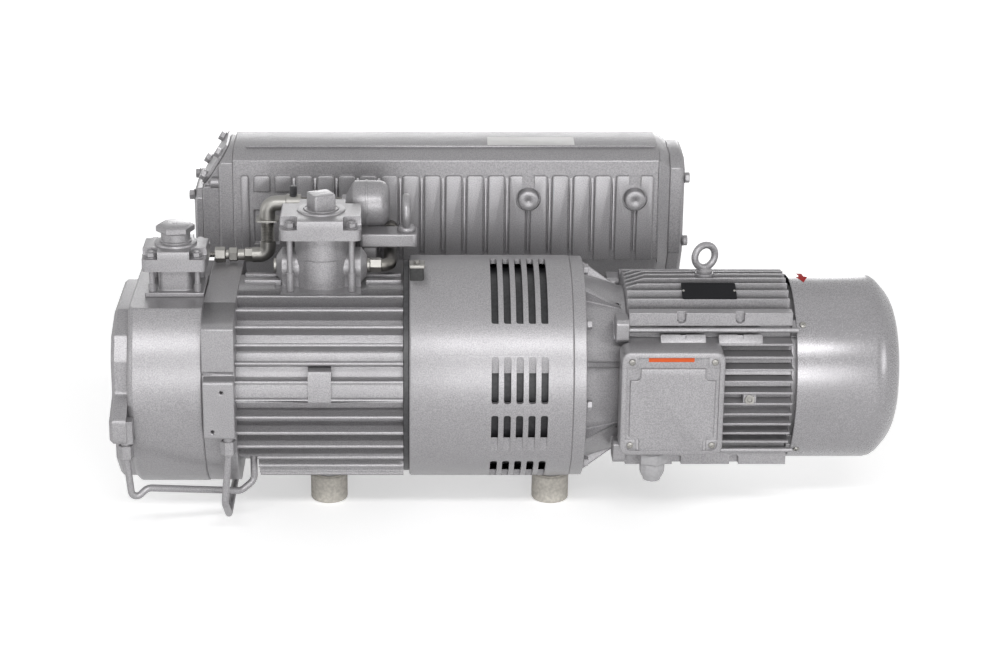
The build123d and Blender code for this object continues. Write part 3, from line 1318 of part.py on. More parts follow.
def build_vent_fittings():
    """Compression nuts of the vent line, its tee with a cap and the thin holding tab."""
    x = VENT_NUT_X
    nuts = hexagon_x(x, x + 15, 19.0, VENT_Y, VENT_Z)
    nuts += rod(x + 15, x + 20, 7.0, VENT_Y, VENT_Z)
    nuts += hexagon_x(x + 20, x + 32, 18.0, VENT_Y, VENT_Z)
    nuts += rod(x + 32, x + 42, 8.0, VENT_Y, VENT_Z)
    nuts += hexagon_x(x + 42, x + VENT_NUTS_L, 18.0, VENT_Y, VENT_Z)
    tee = ring(TEE_X - 10, TEE_X + 10, VENT_PIPE_R + 4, VENT_PIPE_R, VENT_Y, VENT_TOP_Z)
    tee += post(VENT_TOP_Z + VENT_PIPE_R + 2, VENT_TOP_Z + 25, 5.0, TEE_X, VENT_Y)
    tab = block(VENT_RISER_X - 16, VENT_RISER_X + 16, VENT_Y - 16, VENT_Y + 14, 189, 191)
    tab -= post(189, 191, VENT_PIPE_R, VENT_RISER_X, VENT_Y)
    x_side = INLET_X + INLET_CROSS_L / 2 + SIDE_PLUG_T
    side_nut = hexagon_x(x_side, x_side + SIDE_NUT_L, SIDE_NUT_AF, INLET_Y, INLET_CROSS_Z)
    return group([nuts, tee, tab, side_nut])


def build_air_filter():
    """Domed air filter of the vent line with a coned neck and a seam ring."""
    x0 = DOME_X0
    outline = [
        (x0 - DOME_NECK_L, 0),
        (x0 - DOME_NECK_L, VENT_PIPE_R + 3),
        (x0, DOME_R - 5),
        (x0 + 4, DOME_R),
        (x0 + DOME_L - 12, DOME_R),
        (x0 + DOME_L, DOME_R - 12),
        (x0 + DOME_L, 0),
    ]
    return Pos(0, VENT_Y, VENT_TOP_Z) * turned(outline)


def build_lifting_bracket():
    """Bracket arm with its post on the cylinder's flat crown."""
    half = BRACKET_W / 2
    y = BRACKET_Y
    arm = block(BRACKET_X0, BRACKET_X1, y - half, y + half, BRACKET_Z, BRACKET_Z + BRACKET_T)
    arm = chamfer(arm.edges().filter_by(Axis.Z), 3.0)
    post_x1 = BRACKET_X0 + BRACKET_POST_L
    y0, y1 = y - half + 6, y + half - 6
    foot = [(y0, crown_z(y0)), (y1, crown_z(y1)), (y1, BRACKET_Z), (y0, BRACKET_Z)]
    arm += plate(BRACKET_X0 + 4, post_x1, foot)
    hole_top = BRACKET_Z + BRACKET_T
    return arm - post(hole_top - 15, hole_top, LIFT_WIRE_R + SLOT_CLEARANCE, LIFT_EYE_X, y)


def build_lifting_eye():
    """Lifting eye of the pump, its ring square to the shaft."""
    top = BRACKET_Z + BRACKET_T
    return lifting_ring(LIFT_EYE_X, BRACKET_Y, top, LIFT_RING_R, LIFT_WIRE_R, LIFT_COLLAR_R, 15.0, 90)


def left_tube_route():
    """Points of the oil tube from the end cover's lug to the cylinder."""
    y = LUG_FRONT_Y + 17
    z = LUG_BOTTOM_Z - NUT_L
    root_z = -sqrt(CYLINDER_ROOT_R**2 - LEFT_TUBE_END_Y**2)
    return [
        (LEFT_NUT_X, y, z),
        (LEFT_NUT_X + 6, y, -138),
        (LEFT_NUT_X + 26, y + 7, -120),
        (X_CYLINDER + 1, LEFT_TUBE_END_Y - 10, -146),
        (LEFT_TUBE_END_X, LEFT_TUBE_END_Y, -134),
        (LEFT_TUBE_END_X, LEFT_TUBE_END_Y, root_z + 3),
    ]


def right_tube_route():
    """Points of the oil tube from the side plate's lug under the drum to the sump."""
    y = LUG_FRONT_Y + 17
    z = LUG_BOTTOM_Z + 6 - NUT_L
    return [
        (RIGHT_NUT_X, y, z),
        (RIGHT_NUT_X - 7, y + 1, -140),
        (RIGHT_NUT_X - 5, y + 40, -173),
        (RIGHT_NUT_X - 4, SEP_SUMP_FRONT_Y - 80, -173),
        (RIGHT_NUT_X - 4, SEP_SUMP_FRONT_Y - 40, -132),
        (RIGHT_NUT_X - 4, SEP_SUMP_FRONT_Y, -132),
    ]


def build_oil_tubes():
    """Two thin oil tubes low in front of the pump."""
    left = bent_tube(left_tube_route(), TUBE_R, [8.0, 14.0, 14.0, 14.0])
    left -= rod(X_CYLINDER, X_DRIVE, CYLINDER_ROOT_R)
    right = bent_tube(right_tube_route(), TUBE_R, [TUBE_BEND_R] * 4)
    y = LUG_FRONT_Y + 17
    left -= post(LUG_BOTTOM_Z - NUT_L, LUG_BOTTOM_Z, 2 * TUBE_R, LEFT_NUT_X, y)
    right -= post(LUG_BOTTOM_Z + 6 - NUT_L, LUG_BOTTOM_Z, 2 * TUBE_R, RIGHT_NUT_X, y)
    return group([left, right])


def build_tube_nuts():
    """Union nuts at the upper ends of the two oil tubes."""
    y = LUG_FRONT_Y + 17
    nuts = []
    for x, top in ((LEFT_NUT_X, LUG_BOTTOM_Z), (RIGHT_NUT_X, LUG_BOTTOM_Z + 6)):
        nuts.append(hexagon(top - NUT_L, top - 5, NUT_AF, x, y) + post(top - 5, top, NUT_AF * 0.4, x, y))
    return group(nuts)


def build_rubber_feet():
    """Four round rubber feet with a threaded hole from below."""
    feet = []
    for x in (-FOOT_PITCH_X / 2, FOOT_PITCH_X / 2):
        for y in (0, FOOT_PITCH_Y):
            foot = Pos(x, y, FLOOR_Z) * extrude(RegularPolygon(FOOT_R, FOOT_SIDES), FOOT_H)
            foot = chamfer(foot.faces().sort_by(Axis.Z)[0].edges(), 1.5)
            feet.append(foot - post(FLOOR_Z, FLOOR_Z + FOOT_THREAD_DEPTH, FOOT_THREAD_R, x, y))
    return group(feet)


def build_shaft_bushes():
    """Plain bearing bushes of the pump shaft in the three side plates."""
    r_in = SHAFT_R + SHAFT_CLEARANCE
    hub_end = X_SHROUD + DRIVE_HUB_L - SEAL_T
    spans = [(X_DRUM - BUSH_T, X_DRUM), (X_MIDDLE, X_CYLINDER), (X_DRIVE, hub_end)]
    return group([ring(a, b, BUSH_R, r_in) for a, b in spans])


def build_shaft_seal():
    """Radial shaft seal at the drive end."""
    x1 = X_SHROUD + DRIVE_HUB_L
    return ring(x1 - SEAL_T, x1, BUSH_R, SHAFT_R + SHAFT_CLEARANCE)


def slotted_rotor(x0, x1, r, vane_h, turn):
    """Rotor drum with radial vane slots, without its shaft."""
    body = rod(x0, x1, r)
    for i in range(VANE_COUNT):
        slot = block(x0, x1, -r - 1, -r + vane_h, -VANE_T / 2 - SLOT_CLEARANCE, VANE_T / 2 + SLOT_CLEARANCE)
        body -= Rot(turn + i * 360 / VANE_COUNT, 0, 0) * slot
    return body


def vanes(x0, x1, r, vane_h, turn):
    """Vanes lying fully retracted in a rotor's slots."""
    inset = 2 * SLOT_CLEARANCE
    vane = block(x0, x1, -r + inset, -r + vane_h - SLOT_CLEARANCE, -VANE_T / 2, VANE_T / 2)
    return [Rot(turn + i * 360 / VANE_COUNT, 0, 0) * vane for i in range(VANE_COUNT)]


def build_pump_rotor():
    """Pump shaft with the slotted first-stage rotor."""
    gap = RUNNING_GAP
    body = slotted_rotor(X_CYLINDER + gap, X_DRIVE - gap, ROTOR_R, VANE_H, 20)
    return body + rod(X_DRUM - BUSH_T + gap, COUPLING_X0 + COUPLING_HUB_L - 2, SHAFT_R)


def build_second_stage_rotor():
    """Slotted second-stage rotor keyed on the pump shaft."""
    gap = RUNNING_GAP
    body = slotted_rotor(X_DRUM + gap, X_MIDDLE - gap, STAGE_ROTOR_R, STAGE_VANE_H, 50)
    return body - rod(X_DRUM, X_MIDDLE, SHAFT_R)


def build_rotor_vanes():
    """The vanes of both stages, retracted in their slots."""
    gap = RUNNING_GAP
    pieces = vanes(X_CYLINDER + gap, X_DRIVE - gap, ROTOR_R, VANE_H, 20)
    pieces += vanes(X_DRUM + gap, X_MIDDLE - gap, STAGE_ROTOR_R, STAGE_VANE_H, 50)
    return group(pieces)


def sector(x0, x1, r_in, r_out, angle, half):
    """Block between two radii and two angles around the shaft."""
    a, b = radians(angle - half), radians(angle + half)
    reach = r_out * 1.4
    wedge = plate(x0, x1, [(0, 0), (reach * cos(a), reach * sin(a)), (reach * cos(b), reach * sin(b))])
    return ring(x0, x1, r_out, r_in) & wedge


def build_coupling_pump_half():
    """Coupling half on the pump shaft, with its jaws."""
    x0 = COUPLING_X0
    x1 = x0 + COUPLING_HUB_L
    body = ring(x0, x1, COUPLING_R, SHAFT_R)
    for i in range(JAW_COUNT):
        tip = x1 + SPIDER_T - RUNNING_GAP
        body += sector(x1 - 1, tip, JAW_INNER_R, COUPLING_R, i * 360 / JAW_COUNT, JAW_HALF_DEG)
    return body


def build_coupling_spider():
    """Elastic spider between the jaws."""
    x0 = COUPLING_X0 + COUPLING_HUB_L
    x1 = x0 + SPIDER_T - RUNNING_GAP
    gap_deg = degrees(RUNNING_GAP / JAW_INNER_R)
    half = 90 / JAW_COUNT - JAW_HALF_DEG - gap_deg
    body = ring(x0, x1, JAW_INNER_R - RUNNING_GAP, 11.0)
    for i in range(2 * JAW_COUNT):
        angle = (i + 0.5) * 180 / JAW_COUNT
        body += sector(x0, x1, JAW_INNER_R - RUNNING_GAP - 1, COUPLING_R - 1, angle, half)
    return body


def build_coupling_motor_half():
    """Coupling half on the motor shaft, with its jaws."""
    x1 = COUPLING_X0 + COUPLING_HUB_L + SPIDER_T
    body = ring(x1, x1 + COUPLING_HUB_L, COUPLING_R, MOTOR_SHAFT_R)
    for i in range(JAW_COUNT):
        angle = (i + 0.5) * 360 / JAW_COUNT
        body += sector(x1 - SPIDER_T + RUNNING_GAP, x1 + 1, JAW_INNER_R, COUPLING_R, angle, JAW_HALF_DEG)
    return body


def build_cooling_fan():
    """Air fan on the pump-side coupling half: hub, back disc and curved blades."""
    x0 = COUPLING_X0 + COUPLING_HUB_L / 2
    body = ring(x0, x0 + COUPLING_HUB_L / 2, COUPLING_R + 12, COUPLING_R)
    body += ring(x0, x0 + FAN_DISC_T, FAN_R, COUPLING_R)
    blade = block(
        x0,
        x0 + FAN_DISC_T + FAN_BLADE_L,
        -FAN_R + 2,
        -FAN_R + FAN_BLADE_H,
        -FAN_BLADE_T / 2,
        FAN_BLADE_T / 2,
    )
    lean = Pos(0, -FAN_R, 0) * Rot(-FAN_BLADE_LEAN, 0, 0) * Pos(0, FAN_R, 0) * blade
    lean &= rod(x0, x0 + FAN_DISC_T + FAN_BLADE_L, FAN_R)
    for i in range(FAN_BLADES):
        body += Rot(i * 360 / FAN_BLADES, 0, 0) * lean
    return body


def build_motor_rotor():
    """Motor shaft with its cage rotor."""
    x0 = X_FRAME + STATOR_X_OFFSET
    shaft_start = COUPLING_X0 + COUPLING_HUB_L + SPIDER_T + 2
    body = rod(shaft_start, MOTOR_FAN_X + MOTOR_FAN_L, MOTOR_SHAFT_R)
    return body + rod(x0, x0 + STATOR_L, STATOR_BORE_R - RUNNING_GAP)


def build_motor_bearings():
    """Ball bearings at both ends of the motor, as plain rings."""
    r_in = MOTOR_SHAFT_R + SHAFT_CLEARANCE
    starts = (X_FRAME - MOTOR_BEARING_T, X_SHIELD)
    return group([ring(x, x + MOTOR_BEARING_T, MOTOR_BEARING_R, r_in) for x in starts])


def build_motor_fan():
    """Moulded fan behind the grille of the cowl."""
    x0 = MOTOR_FAN_X
    body = ring(x0, x0 + MOTOR_FAN_L, 32.0, MOTOR_SHAFT_R) + ring(x0, x0 + 4, MOTOR_FAN_R, MOTOR_SHAFT_R)
    blade = block(x0, x0 + MOTOR_FAN_L, -MOTOR_FAN_R + 1, -28, -1.5, 1.5)
    for i in range(7):
        body += Rot(i * 360 / 7, 0, 0) * blade
    return body


def pan_head(x, y, z, direction):
    """Twelve-sided pan head standing on a surface."""
    spot = Plane(origin=(x, y, z), z_dir=direction)
    return extrude(spot * RegularPolygon(SCREW_HEAD_R, 12), SCREW_HEAD_T)


def build_cross_screws():
    """Pan-head screws of the terminal box lid and of the fan cowl."""
    screws = []
    for x, z in lid_screw_places():
        screws.append(pan_head(x, BOX_FRONT_Y + LID_RECESS, z, (0, -1, 0)))
    for y, z in cowl_screw_places(COWL_R):
        screws.append(pan_head(X_COWL + 9, y, z, (0, y, z)))
    return group(screws)


NODES = {
    "cylinder_casting": build_cylinder_casting,
    "stage_drum": build_stage_drum,
    "left_end_plate": build_left_end_plate,
    "middle_side_plate": build_middle_side_plate,
    "drive_side_plate": build_drive_side_plate,
    "fan_shroud": build_fan_shroud,
    "bell_housing": build_bell_housing,
    "hex_bolts": build_hex_bolts,
    "motor_frame": build_motor_frame,
    "motor_end_shield": build_motor_end_shield,
    "fan_cowl": build_fan_cowl,
    "motor_tie_rods": build_motor_tie_rods,
    "terminal_box": build_terminal_box,
    "terminal_box_lid": build_terminal_box_lid,
    "terminal_board": build_terminal_board,
    "cable_gland": build_cable_gland,
    "motor_eye_bolt": build_motor_eye_bolt,
    "stator_core": build_stator_core,
    "stator_windings": build_stator_windings,
    "separator_housing": build_separator_housing,
    "separator_right_cover": build_separator_right_cover,
    "separator_left_cover": build_separator_left_cover,
    "exhaust_plate": build_exhaust_plate,
    "exhaust_filters": build_exhaust_filters,
    "oil_filter": build_oil_filter,
    "sight_glass": build_sight_glass,
    "screw_plugs": build_screw_plugs,
    "float_valve": build_float_valve,
    "float_arm": build_float_arm,
    "inlet_body": build_inlet_body,
    "inlet_cover": build_inlet_cover,
    "cover_studs": build_cover_studs,
    "inlet_plug": build_inlet_plug,
    "inlet_screen": build_inlet_screen,
    "valve_disc": build_valve_disc,
    "valve_spring": build_valve_spring,
    "ballast_body": build_ballast_body,
    "ballast_cover": build_ballast_cover,
    "ballast_plug": build_ballast_plug,
    "vent_pipe": build_vent_pipe,
    "vent_fittings": build_vent_fittings,
    "air_filter": build_air_filter,
    "lifting_bracket": build_lifting_bracket,
    "lifting_eye": build_lifting_eye,
    "oil_tubes": build_oil_tubes,
    "tube_nuts": build_tube_nuts,
    "rubber_feet": build_rubber_feet,
    "shaft_bushes": build_shaft_bushes,
    "shaft_seal": build_shaft_seal,
    "pump_rotor": build_pump_rotor,
    "second_stage_rotor": build_second_stage_rotor,
    "rotor_vanes": build_rotor_vanes,
    "coupling_pump_half": build_coupling_pump_half,
    "coupling_spider": build_coupling_spider,
    "coupling_motor_half": build_coupling_motor_half,
    "cooling_fan": build_cooling_fan,
    "motor_rotor": build_motor_rotor,
    "motor_bearings": build_motor_bearings,
    "motor_fan": build_motor_fan,
    "cross_screws": build_cross_screws,
}

for node, build in NODES.items():
    write(node, build())
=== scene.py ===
"""Looks of an oil-sealed rotary vane vacuum pump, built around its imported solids."""

import json
import logging
from dataclasses import dataclass
from enum import Enum
from math import atan2, cos, degrees, pi, radians, sin, sqrt, tan
from typing import Callable, Iterable, Sequence

import bmesh
import bpy
from mathutils import Matrix, Vector

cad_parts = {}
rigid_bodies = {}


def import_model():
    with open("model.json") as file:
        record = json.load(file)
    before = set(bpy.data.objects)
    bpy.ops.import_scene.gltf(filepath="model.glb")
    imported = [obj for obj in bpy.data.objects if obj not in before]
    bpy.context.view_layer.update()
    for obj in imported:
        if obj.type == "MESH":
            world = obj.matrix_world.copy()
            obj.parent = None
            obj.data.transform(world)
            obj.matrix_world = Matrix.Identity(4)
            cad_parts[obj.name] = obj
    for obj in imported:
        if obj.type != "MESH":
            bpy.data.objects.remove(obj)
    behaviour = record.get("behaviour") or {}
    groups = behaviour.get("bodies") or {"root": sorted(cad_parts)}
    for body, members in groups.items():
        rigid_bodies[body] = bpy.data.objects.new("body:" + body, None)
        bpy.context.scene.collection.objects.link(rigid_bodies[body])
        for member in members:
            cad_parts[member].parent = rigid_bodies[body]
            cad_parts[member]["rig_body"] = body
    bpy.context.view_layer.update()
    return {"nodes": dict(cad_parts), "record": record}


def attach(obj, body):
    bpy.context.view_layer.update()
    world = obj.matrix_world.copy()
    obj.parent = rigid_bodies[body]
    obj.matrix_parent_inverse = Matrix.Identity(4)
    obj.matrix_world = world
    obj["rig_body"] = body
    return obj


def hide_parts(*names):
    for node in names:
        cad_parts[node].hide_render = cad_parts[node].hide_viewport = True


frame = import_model()

log = logging.getLogger("vacuum_pump")

Vec3 = tuple[float, float, float]
Colour = tuple[float, float, float]
Pair = tuple[float, float]
Pairs = tuple[Pair, ...]
Triple = tuple[float, float, float]
Four = tuple[float, float, float, float]

# start, end and radius of a bar; for a hexagon its size across flats instead of the radius
Bar = tuple[float, float, float]

# the shaft line in the frame's metres; shapes are built in millimetres about it
SHAFT_Y = -0.125
SHAFT_Z = 0.200
TO_FRAME = Matrix.Translation((0.0, SHAFT_Y, SHAFT_Z)) @ Matrix.Scale(0.001, 4)

RIGHT: Vec3 = (1.0, 0.0, 0.0)
LEFT: Vec3 = (-1.0, 0.0, 0.0)
FRONT: Vec3 = (0.0, -1.0, 0.0)
BACK: Vec3 = (0.0, 1.0, 0.0)
UP: Vec3 = (0.0, 0.0, 1.0)
DOWN: Vec3 = (0.0, 0.0, -1.0)


class Slot(Enum):
    """The record's material slots."""

    PAINT = "paint_grey"
    COWL = "paint_cowl"
    BRIGHT = "steel_bright"
    DARK = "steel_dark"
    IRON = "cast_iron_bare"
    FOOT = "rubber_beige"
    RUBBER = "rubber_black"
    PLASTIC = "plastic_black"
    GREY = "plastic_grey"
    FILTER = "filter_white"
    ALUMINIUM = "aluminium_cast"
    COPPER = "copper_winding"
    VANE = "vane_composite"
    GLASS = "glass_clear"


class Extra(Enum):
    """Finishes that no slot of the record names."""

    LABEL = "label_white"
    STICKER = "sticker_orange"
    ARROW = "arrow_red"
    PLATE = "plate_black"


class Body(Enum):
    """The frame's bodies."""

    HOUSING = "housing"
    PUMP = "pump_rotor"
    MOTOR = "motor_rotor"
    VALVE = "inlet_valve"
    FLOAT = "float"


class Wire:
    """An output socket that can be used in Python arithmetic."""

    def __init__(self, graph: "Graph", socket: bpy.types.NodeSocket) -> None:
        """Keep the graph and the socket.

        Args:
            graph: the graph that the socket belongs to.
            socket: an output socket of one of its nodes.
        """
        self.graph = graph
        self.socket = socket

    def _math(self, operation: str, *values: "Wire | float") -> "Wire":
        """Add one Math node.

        Args:
            operation: the Math node's operation.
            values: its inputs, wires or numbers.

        Returns:
            The node's output.
        """
        return self.graph.node("ShaderNodeMath", {"operation": operation}, dict(enumerate(values)))

    def __add__(self, other: "Wire | float") -> "Wire":
        """Sum."""
        return self._math("ADD", self, other)

    def __radd__(self, other: float) -> "Wire":
        """Sum with the number first."""
        return self._math("ADD", other, self)

    def __sub__(self, other: "Wire | float") -> "Wire":
        """Difference."""
        return self._math("SUBTRACT", self, other)

    def __rsub__(self, other: float) -> "Wire":
        """Difference with the number first."""
        return self._math("SUBTRACT", other, self)

    def __mul__(self, other: "Wire | float") -> "Wire":
        """Product."""
        return self._math("MULTIPLY", self, other)

    def __rmul__(self, other: float) -> "Wire":
        """Product with the number first."""
        return self._math("MULTIPLY", other, self)

    def above(self, low: float, high: float) -> "Wire":
        """Smooth step from 0 at low to 1 at high.

        Args:
            low: value below which the result is 0.
            high: value above which the result is 1.

        Returns:
            The stepped value.
        """
        settings = {"interpolation_type": "SMOOTHSTEP"}
        return self.graph.node("ShaderNodeMapRange", settings, {0: self, 1: low, 2: high})

    def between(self, low: float, high: float) -> "Wire":
        """Value that goes from low at 0 to high at 1 and stays there."""
        return self.graph.node("ShaderNodeMapRange", {}, {0: self, 3: low, 4: high})

    def about(self, middle: float, swing: float) -> "Wire":
        """Value that follows this noise about a middle."""
        return middle + (self - 0.5) * swing


class Graph:
    """A node tree whose nodes all come from one method."""

    def __init__(self, tree: bpy.types.NodeTree) -> None:
        """Keep the tree.

        Args:
            tree: the tree that takes the nodes.
        """
        self.tree = tree

    def node(
        self,
        kind: str,
        settings: dict[str, object],
        sockets: dict[int | str, object],
        output: int | str = 0,
    ) -> Wire:
        """Add a node: its settings first, then its sockets.

        Args:
            kind: the node's type.
            settings: properties to set before the sockets.
            sockets: values or wires by the socket's name or number; None leaves a socket alone.
            output: name or number of the output.

        Returns:
            The output.
        """
        new = self.tree.nodes.new(kind)
        for key, value in settings.items():
            setattr(new, key, value)
        for key, value in sockets.items():
            if value is not None:
                self.plug(new.inputs[key], value)
        return Wire(self, new.outputs[output])

    def plug(self, socket: bpy.types.NodeSocket, value: object) -> None:
        """Link a wire to a socket, or set the socket's value.

        Args:
            socket: an input socket.
            value: a wire, a number, a vector or a colour.
        """
        if isinstance(value, Wire):
            self.tree.links.new(value.socket, socket)
        elif socket.type == "RGBA" and len(value) == 3:
            socket.default_value = (*value, 1.0)
        else:
            socket.default_value = value

    def ray(self, kind: str) -> Wire:
        """Whether the ray is of a kind that Light Path names."""
        return self.node("ShaderNodeLightPath", {}, {}, kind)

    def blend(self, amount: Wire | float, first: object, second: object) -> Wire:
        """Mix two colours.

        Args:
            amount: 0 for the first, 1 for the second.
            first: a colour or a wire.
            second: a colour or a wire.

        Returns:
            The mixed colour.
        """
        # a Mix node's colour sockets stand after its float and vector ones
        return self.node("ShaderNodeMix", {"data_type": "RGBA"}, {0: amount, 6: first, 7: second}, 2)


class Paint(Graph):
    """A new material with one principled shader."""

    def __init__(self, name: str) -> None:
        """Start the material.

        Args:
            name: the material's name.
        """
        self.material = bpy.data.materials.new(name)
        self.material.use_nodes = True
        super().__init__(self.material.node_tree)
        self.tree.nodes.clear()
        self.shader = self.tree.nodes.new("ShaderNodeBsdfPrincipled")
        output = self.tree.nodes.new("ShaderNodeOutputMaterial")
        self.tree.links.new(self.shader.outputs[0], output.inputs[0])
        self.place = self.node("ShaderNodeTexCoord", {}, {}, "Object")

    def noise(self, scale: float, detail: float = 3.0, rough: float = 0.5) -> Wire:
        """Fractal noise on object coordinates.

        Args:
            scale: cells per metre.
            detail: octaves.
            rough: weight of the fine octaves.

        Returns:
            The noise value around 0.5.
        """
        sockets = {"Vector": self.place, "Scale": scale, "Detail": detail, "Roughness": rough}
        return self.node("ShaderNodeTexNoise", {}, sockets)

    def bump(self, height: Wire, depth: float, strength: float = 1.0, under: Wire | None = None) -> Wire:
        """Bump from a height.

        Args:
            height: the height's wire.
            depth: metres per unit of height.
            strength: how much of it shows.
            under: a normal that it adds to.

        Returns:
            The normal.
        """
        sockets = {"Strength": strength, "Distance": depth, "Height": height, "Normal": under}
        return self.node("ShaderNodeBump", {}, sockets)

    def finish(self, **sockets: object) -> bpy.types.Material:
        """Set the shader's sockets by name, with _ for a space.

        Args:
            sockets: values or wires.

        Returns:
            The finished material.
        """
        for key, value in sockets.items():
            self.plug(self.shader.inputs[key.replace("_", " ")], value)
        return self.material


def shaded(colour: Colour, factor: float) -> Colour:
    """Colour made darker or lighter by a factor."""
    return tuple(min(1.0, c * factor) for c in colour)


@dataclass(frozen=True)
class Finish:
    """A printed or plain surface with faint mottling."""

    name: str
    colour: Colour
    gloss: float = 0.5
    specular: float = 0.5
    cloud_scale: float = 60.0
    fine_scale: float = 900.0
    fine_depth: float = 0.00005

    def make(self) -> bpy.types.Material:
        """Build the material.

        Returns:
            The material.
        """
        g = Paint(self.name)
        tone = g.noise(self.cloud_scale)
        shade = g.blend(tone, shaded(self.colour, 0.88), shaded(self.colour, 1.1))
        fine = g.bump(g.noise(self.fine_scale), self.fine_depth)
        rough = tone.about(self.gloss, 0.15)
        return g.finish(Base_Color=shade, Roughness=rough, Specular_IOR_Level=self.specular, Normal=fine)


@dataclass(frozen=True)
class CastPaint(Finish):
    """Silver-grey spray paint over rough castings, with fine speckle."""

    specular: float = 0.3
    cloud_scale: float = 14.0
    cloud_share: float = 0.22
    metal: float = 0.4
    grain: float = 680.0
    grain_depth: float = 0.00018
    contrast: float = 0.2
    cast_scale: float = 90.0
    cast_depth: float = 0.0005

    def make(self) -> bpy.types.Material:
        """Build the speckled paint.

        Returns:
            The material.
        """
        g = Paint(self.name)
        speck = g.noise(self.grain, detail=3.0, rough=0.65)
        cloud = g.noise(self.cloud_scale, detail=3.0)
        dark, light = shaded(self.colour, 1 - self.contrast), shaded(self.colour, 1 + self.contrast)
        shade = g.blend(speck.above(0.3, 0.7), dark, light)
        shade = g.blend(cloud.above(0.45, 0.8) * self.cloud_share, shade, shaded(self.colour, 0.72))
        rough = speck.about(self.gloss, 0.2) + cloud.about(0.0, 0.1)
        under = g.bump(g.noise(self.cast_scale, detail=2.0), self.cast_depth, 0.35)
        return g.finish(
            Base_Color=shade,
            Roughness=rough,
            Metallic=self.metal,
            Specular_IOR_Level=self.specular,
            Normal=g.bump(speck, self.grain_depth, 0.7, under),
        )


@dataclass(frozen=True)
class Metal(Finish):
    """Bare or plated metal with faint smudges."""

    cloud_scale: float = 45.0
    fine_depth: float = 0.00008

    def make(self) -> bpy.types.Material:
        """Build the metal.

        Returns:
            The material.
        """
        g = Paint(self.name)
        smudge = g.noise(self.cloud_scale, detail=4.0)
        shade = g.blend(smudge.above(0.3, 0.8), shaded(self.colour, 0.75), self.colour)
        fine = g.bump(g.noise(self.fine_scale, detail=2.0), self.fine_depth, 0.5)
        rough = smudge.about(self.gloss, 0.25)
        return g.finish(Base_Color=shade, Roughness=rough, Metallic=1.0, Normal=fine)


@dataclass(frozen=True)
class Rubber(Finish):
    """Rubber or matt plastic."""

    cloud_scale: float = 30.0
    fine_scale: float = 1100.0
    fine_depth: float = 0.00015
    mottle: float = 220.0
    contrast: float = 0.25

    def make(self) -> bpy.types.Material:
        """Build the dull surface.

        Returns:
            The material.
        """
        g = Paint(self.name)
        spots = g.noise(self.mottle, detail=3.0).above(0.3, 0.7)
        dark, light = shaded(self.colour, 1 - self.contrast), shaded(self.colour, 1 + self.contrast)
        rough = g.noise(self.cloud_scale).about(self.gloss, 0.2)
        fine = g.bump(g.noise(self.fine_scale), self.fine_depth, 0.6)
        return g.finish(Base_Color=g.blend(spots, dark, light), Roughness=rough, Normal=fine)


@dataclass(frozen=True)
class Glass(Finish):
    """Clear sight glass."""

    gloss: float = 0.05
    cloud_scale: float = 120.0

    def make(self) -> bpy.types.Material:
        """Build the glass.

        Returns:
            The material.
        """
        g = Paint(self.name)
        rough = self.gloss + g.noise(self.cloud_scale) * 0.06
        return g.finish(Base_Color=self.colour, Roughness=rough, Transmission_Weight=0.9, IOR=1.5)


FINISHES: dict[Slot | Extra, Finish] = {
    Slot.PAINT: CastPaint("PaintGrey", (0.315, 0.308, 0.318), gloss=0.36),
    Slot.COWL: CastPaint(
        "PaintCowl",
        (0.31, 0.303, 0.314),
        gloss=0.27,
        metal=0.5,
        grain=560.0,
        grain_depth=0.00001,
        contrast=0.14,
        cast_depth=0.00004,
    ),
    Slot.BRIGHT: Metal("SteelBright", (0.34, 0.332, 0.315), gloss=0.46),
    Slot.DARK: Metal("SteelDark", (0.16, 0.153, 0.142), gloss=0.42),
    Slot.IRON: Metal("IronBare", (0.30, 0.29, 0.28), gloss=0.5),
    Slot.FOOT: Rubber("RubberBeige", (0.50, 0.475, 0.43), gloss=0.7, contrast=0.14),
    Slot.RUBBER: Rubber("RubberBlack", (0.03, 0.03, 0.03), gloss=0.75),
    Slot.PLASTIC: Rubber("PlasticBlack", (0.035, 0.035, 0.038), gloss=0.45),
    Slot.GREY: Rubber("PlasticGrey", (0.36, 0.355, 0.365), gloss=0.4, contrast=0.06),
    Slot.FILTER: Rubber("FilterWhite", (0.80, 0.78, 0.72), gloss=0.9, contrast=0.08),
    Slot.ALUMINIUM: Metal("AluminiumCast", (0.62, 0.62, 0.63), gloss=0.45),
    Slot.COPPER: Metal("CopperWinding", (0.55, 0.27, 0.13), gloss=0.4),
    Slot.VANE: Rubber("VaneComposite", (0.10, 0.075, 0.05), gloss=0.5),
    Slot.GLASS: Glass("GlassClear", (0.9, 0.95, 0.92)),
    Extra.LABEL: Finish("LabelWhite", (0.78, 0.77, 0.76)),
    Extra.STICKER: Finish("StickerOrange", (0.62, 0.10, 0.025), specular=0.2),
    Extra.ARROW: Finish("ArrowRed", (0.45, 0.03, 0.03), gloss=0.8, specular=0.1),
    Extra.PLATE: Finish("PlateBlack", (0.012, 0.012, 0.014), gloss=0.6, specular=0.12),
}


class PaintShop:
    """Makes each finish once and hands it out."""

    def __init__(self) -> None:
        """Start with no materials made."""
        self._made: dict[Slot | Extra, bpy.types.Material] = {}

    def coat(self, piece: bpy.types.Object, slot: Slot | Extra) -> None:
        """Give a piece one finish in place of what it has.

        Args:
            piece: the object to coat.
            slot: the finish's slot.
        """
        if slot not in self._made:
            self._made[slot] = FINISHES[slot].make()
        if len(piece.material_slots) == 0:
            piece.data.materials.append(None)
        for place in piece.material_slots:
            place.material = self._made[slot]


SHOP = PaintShop()


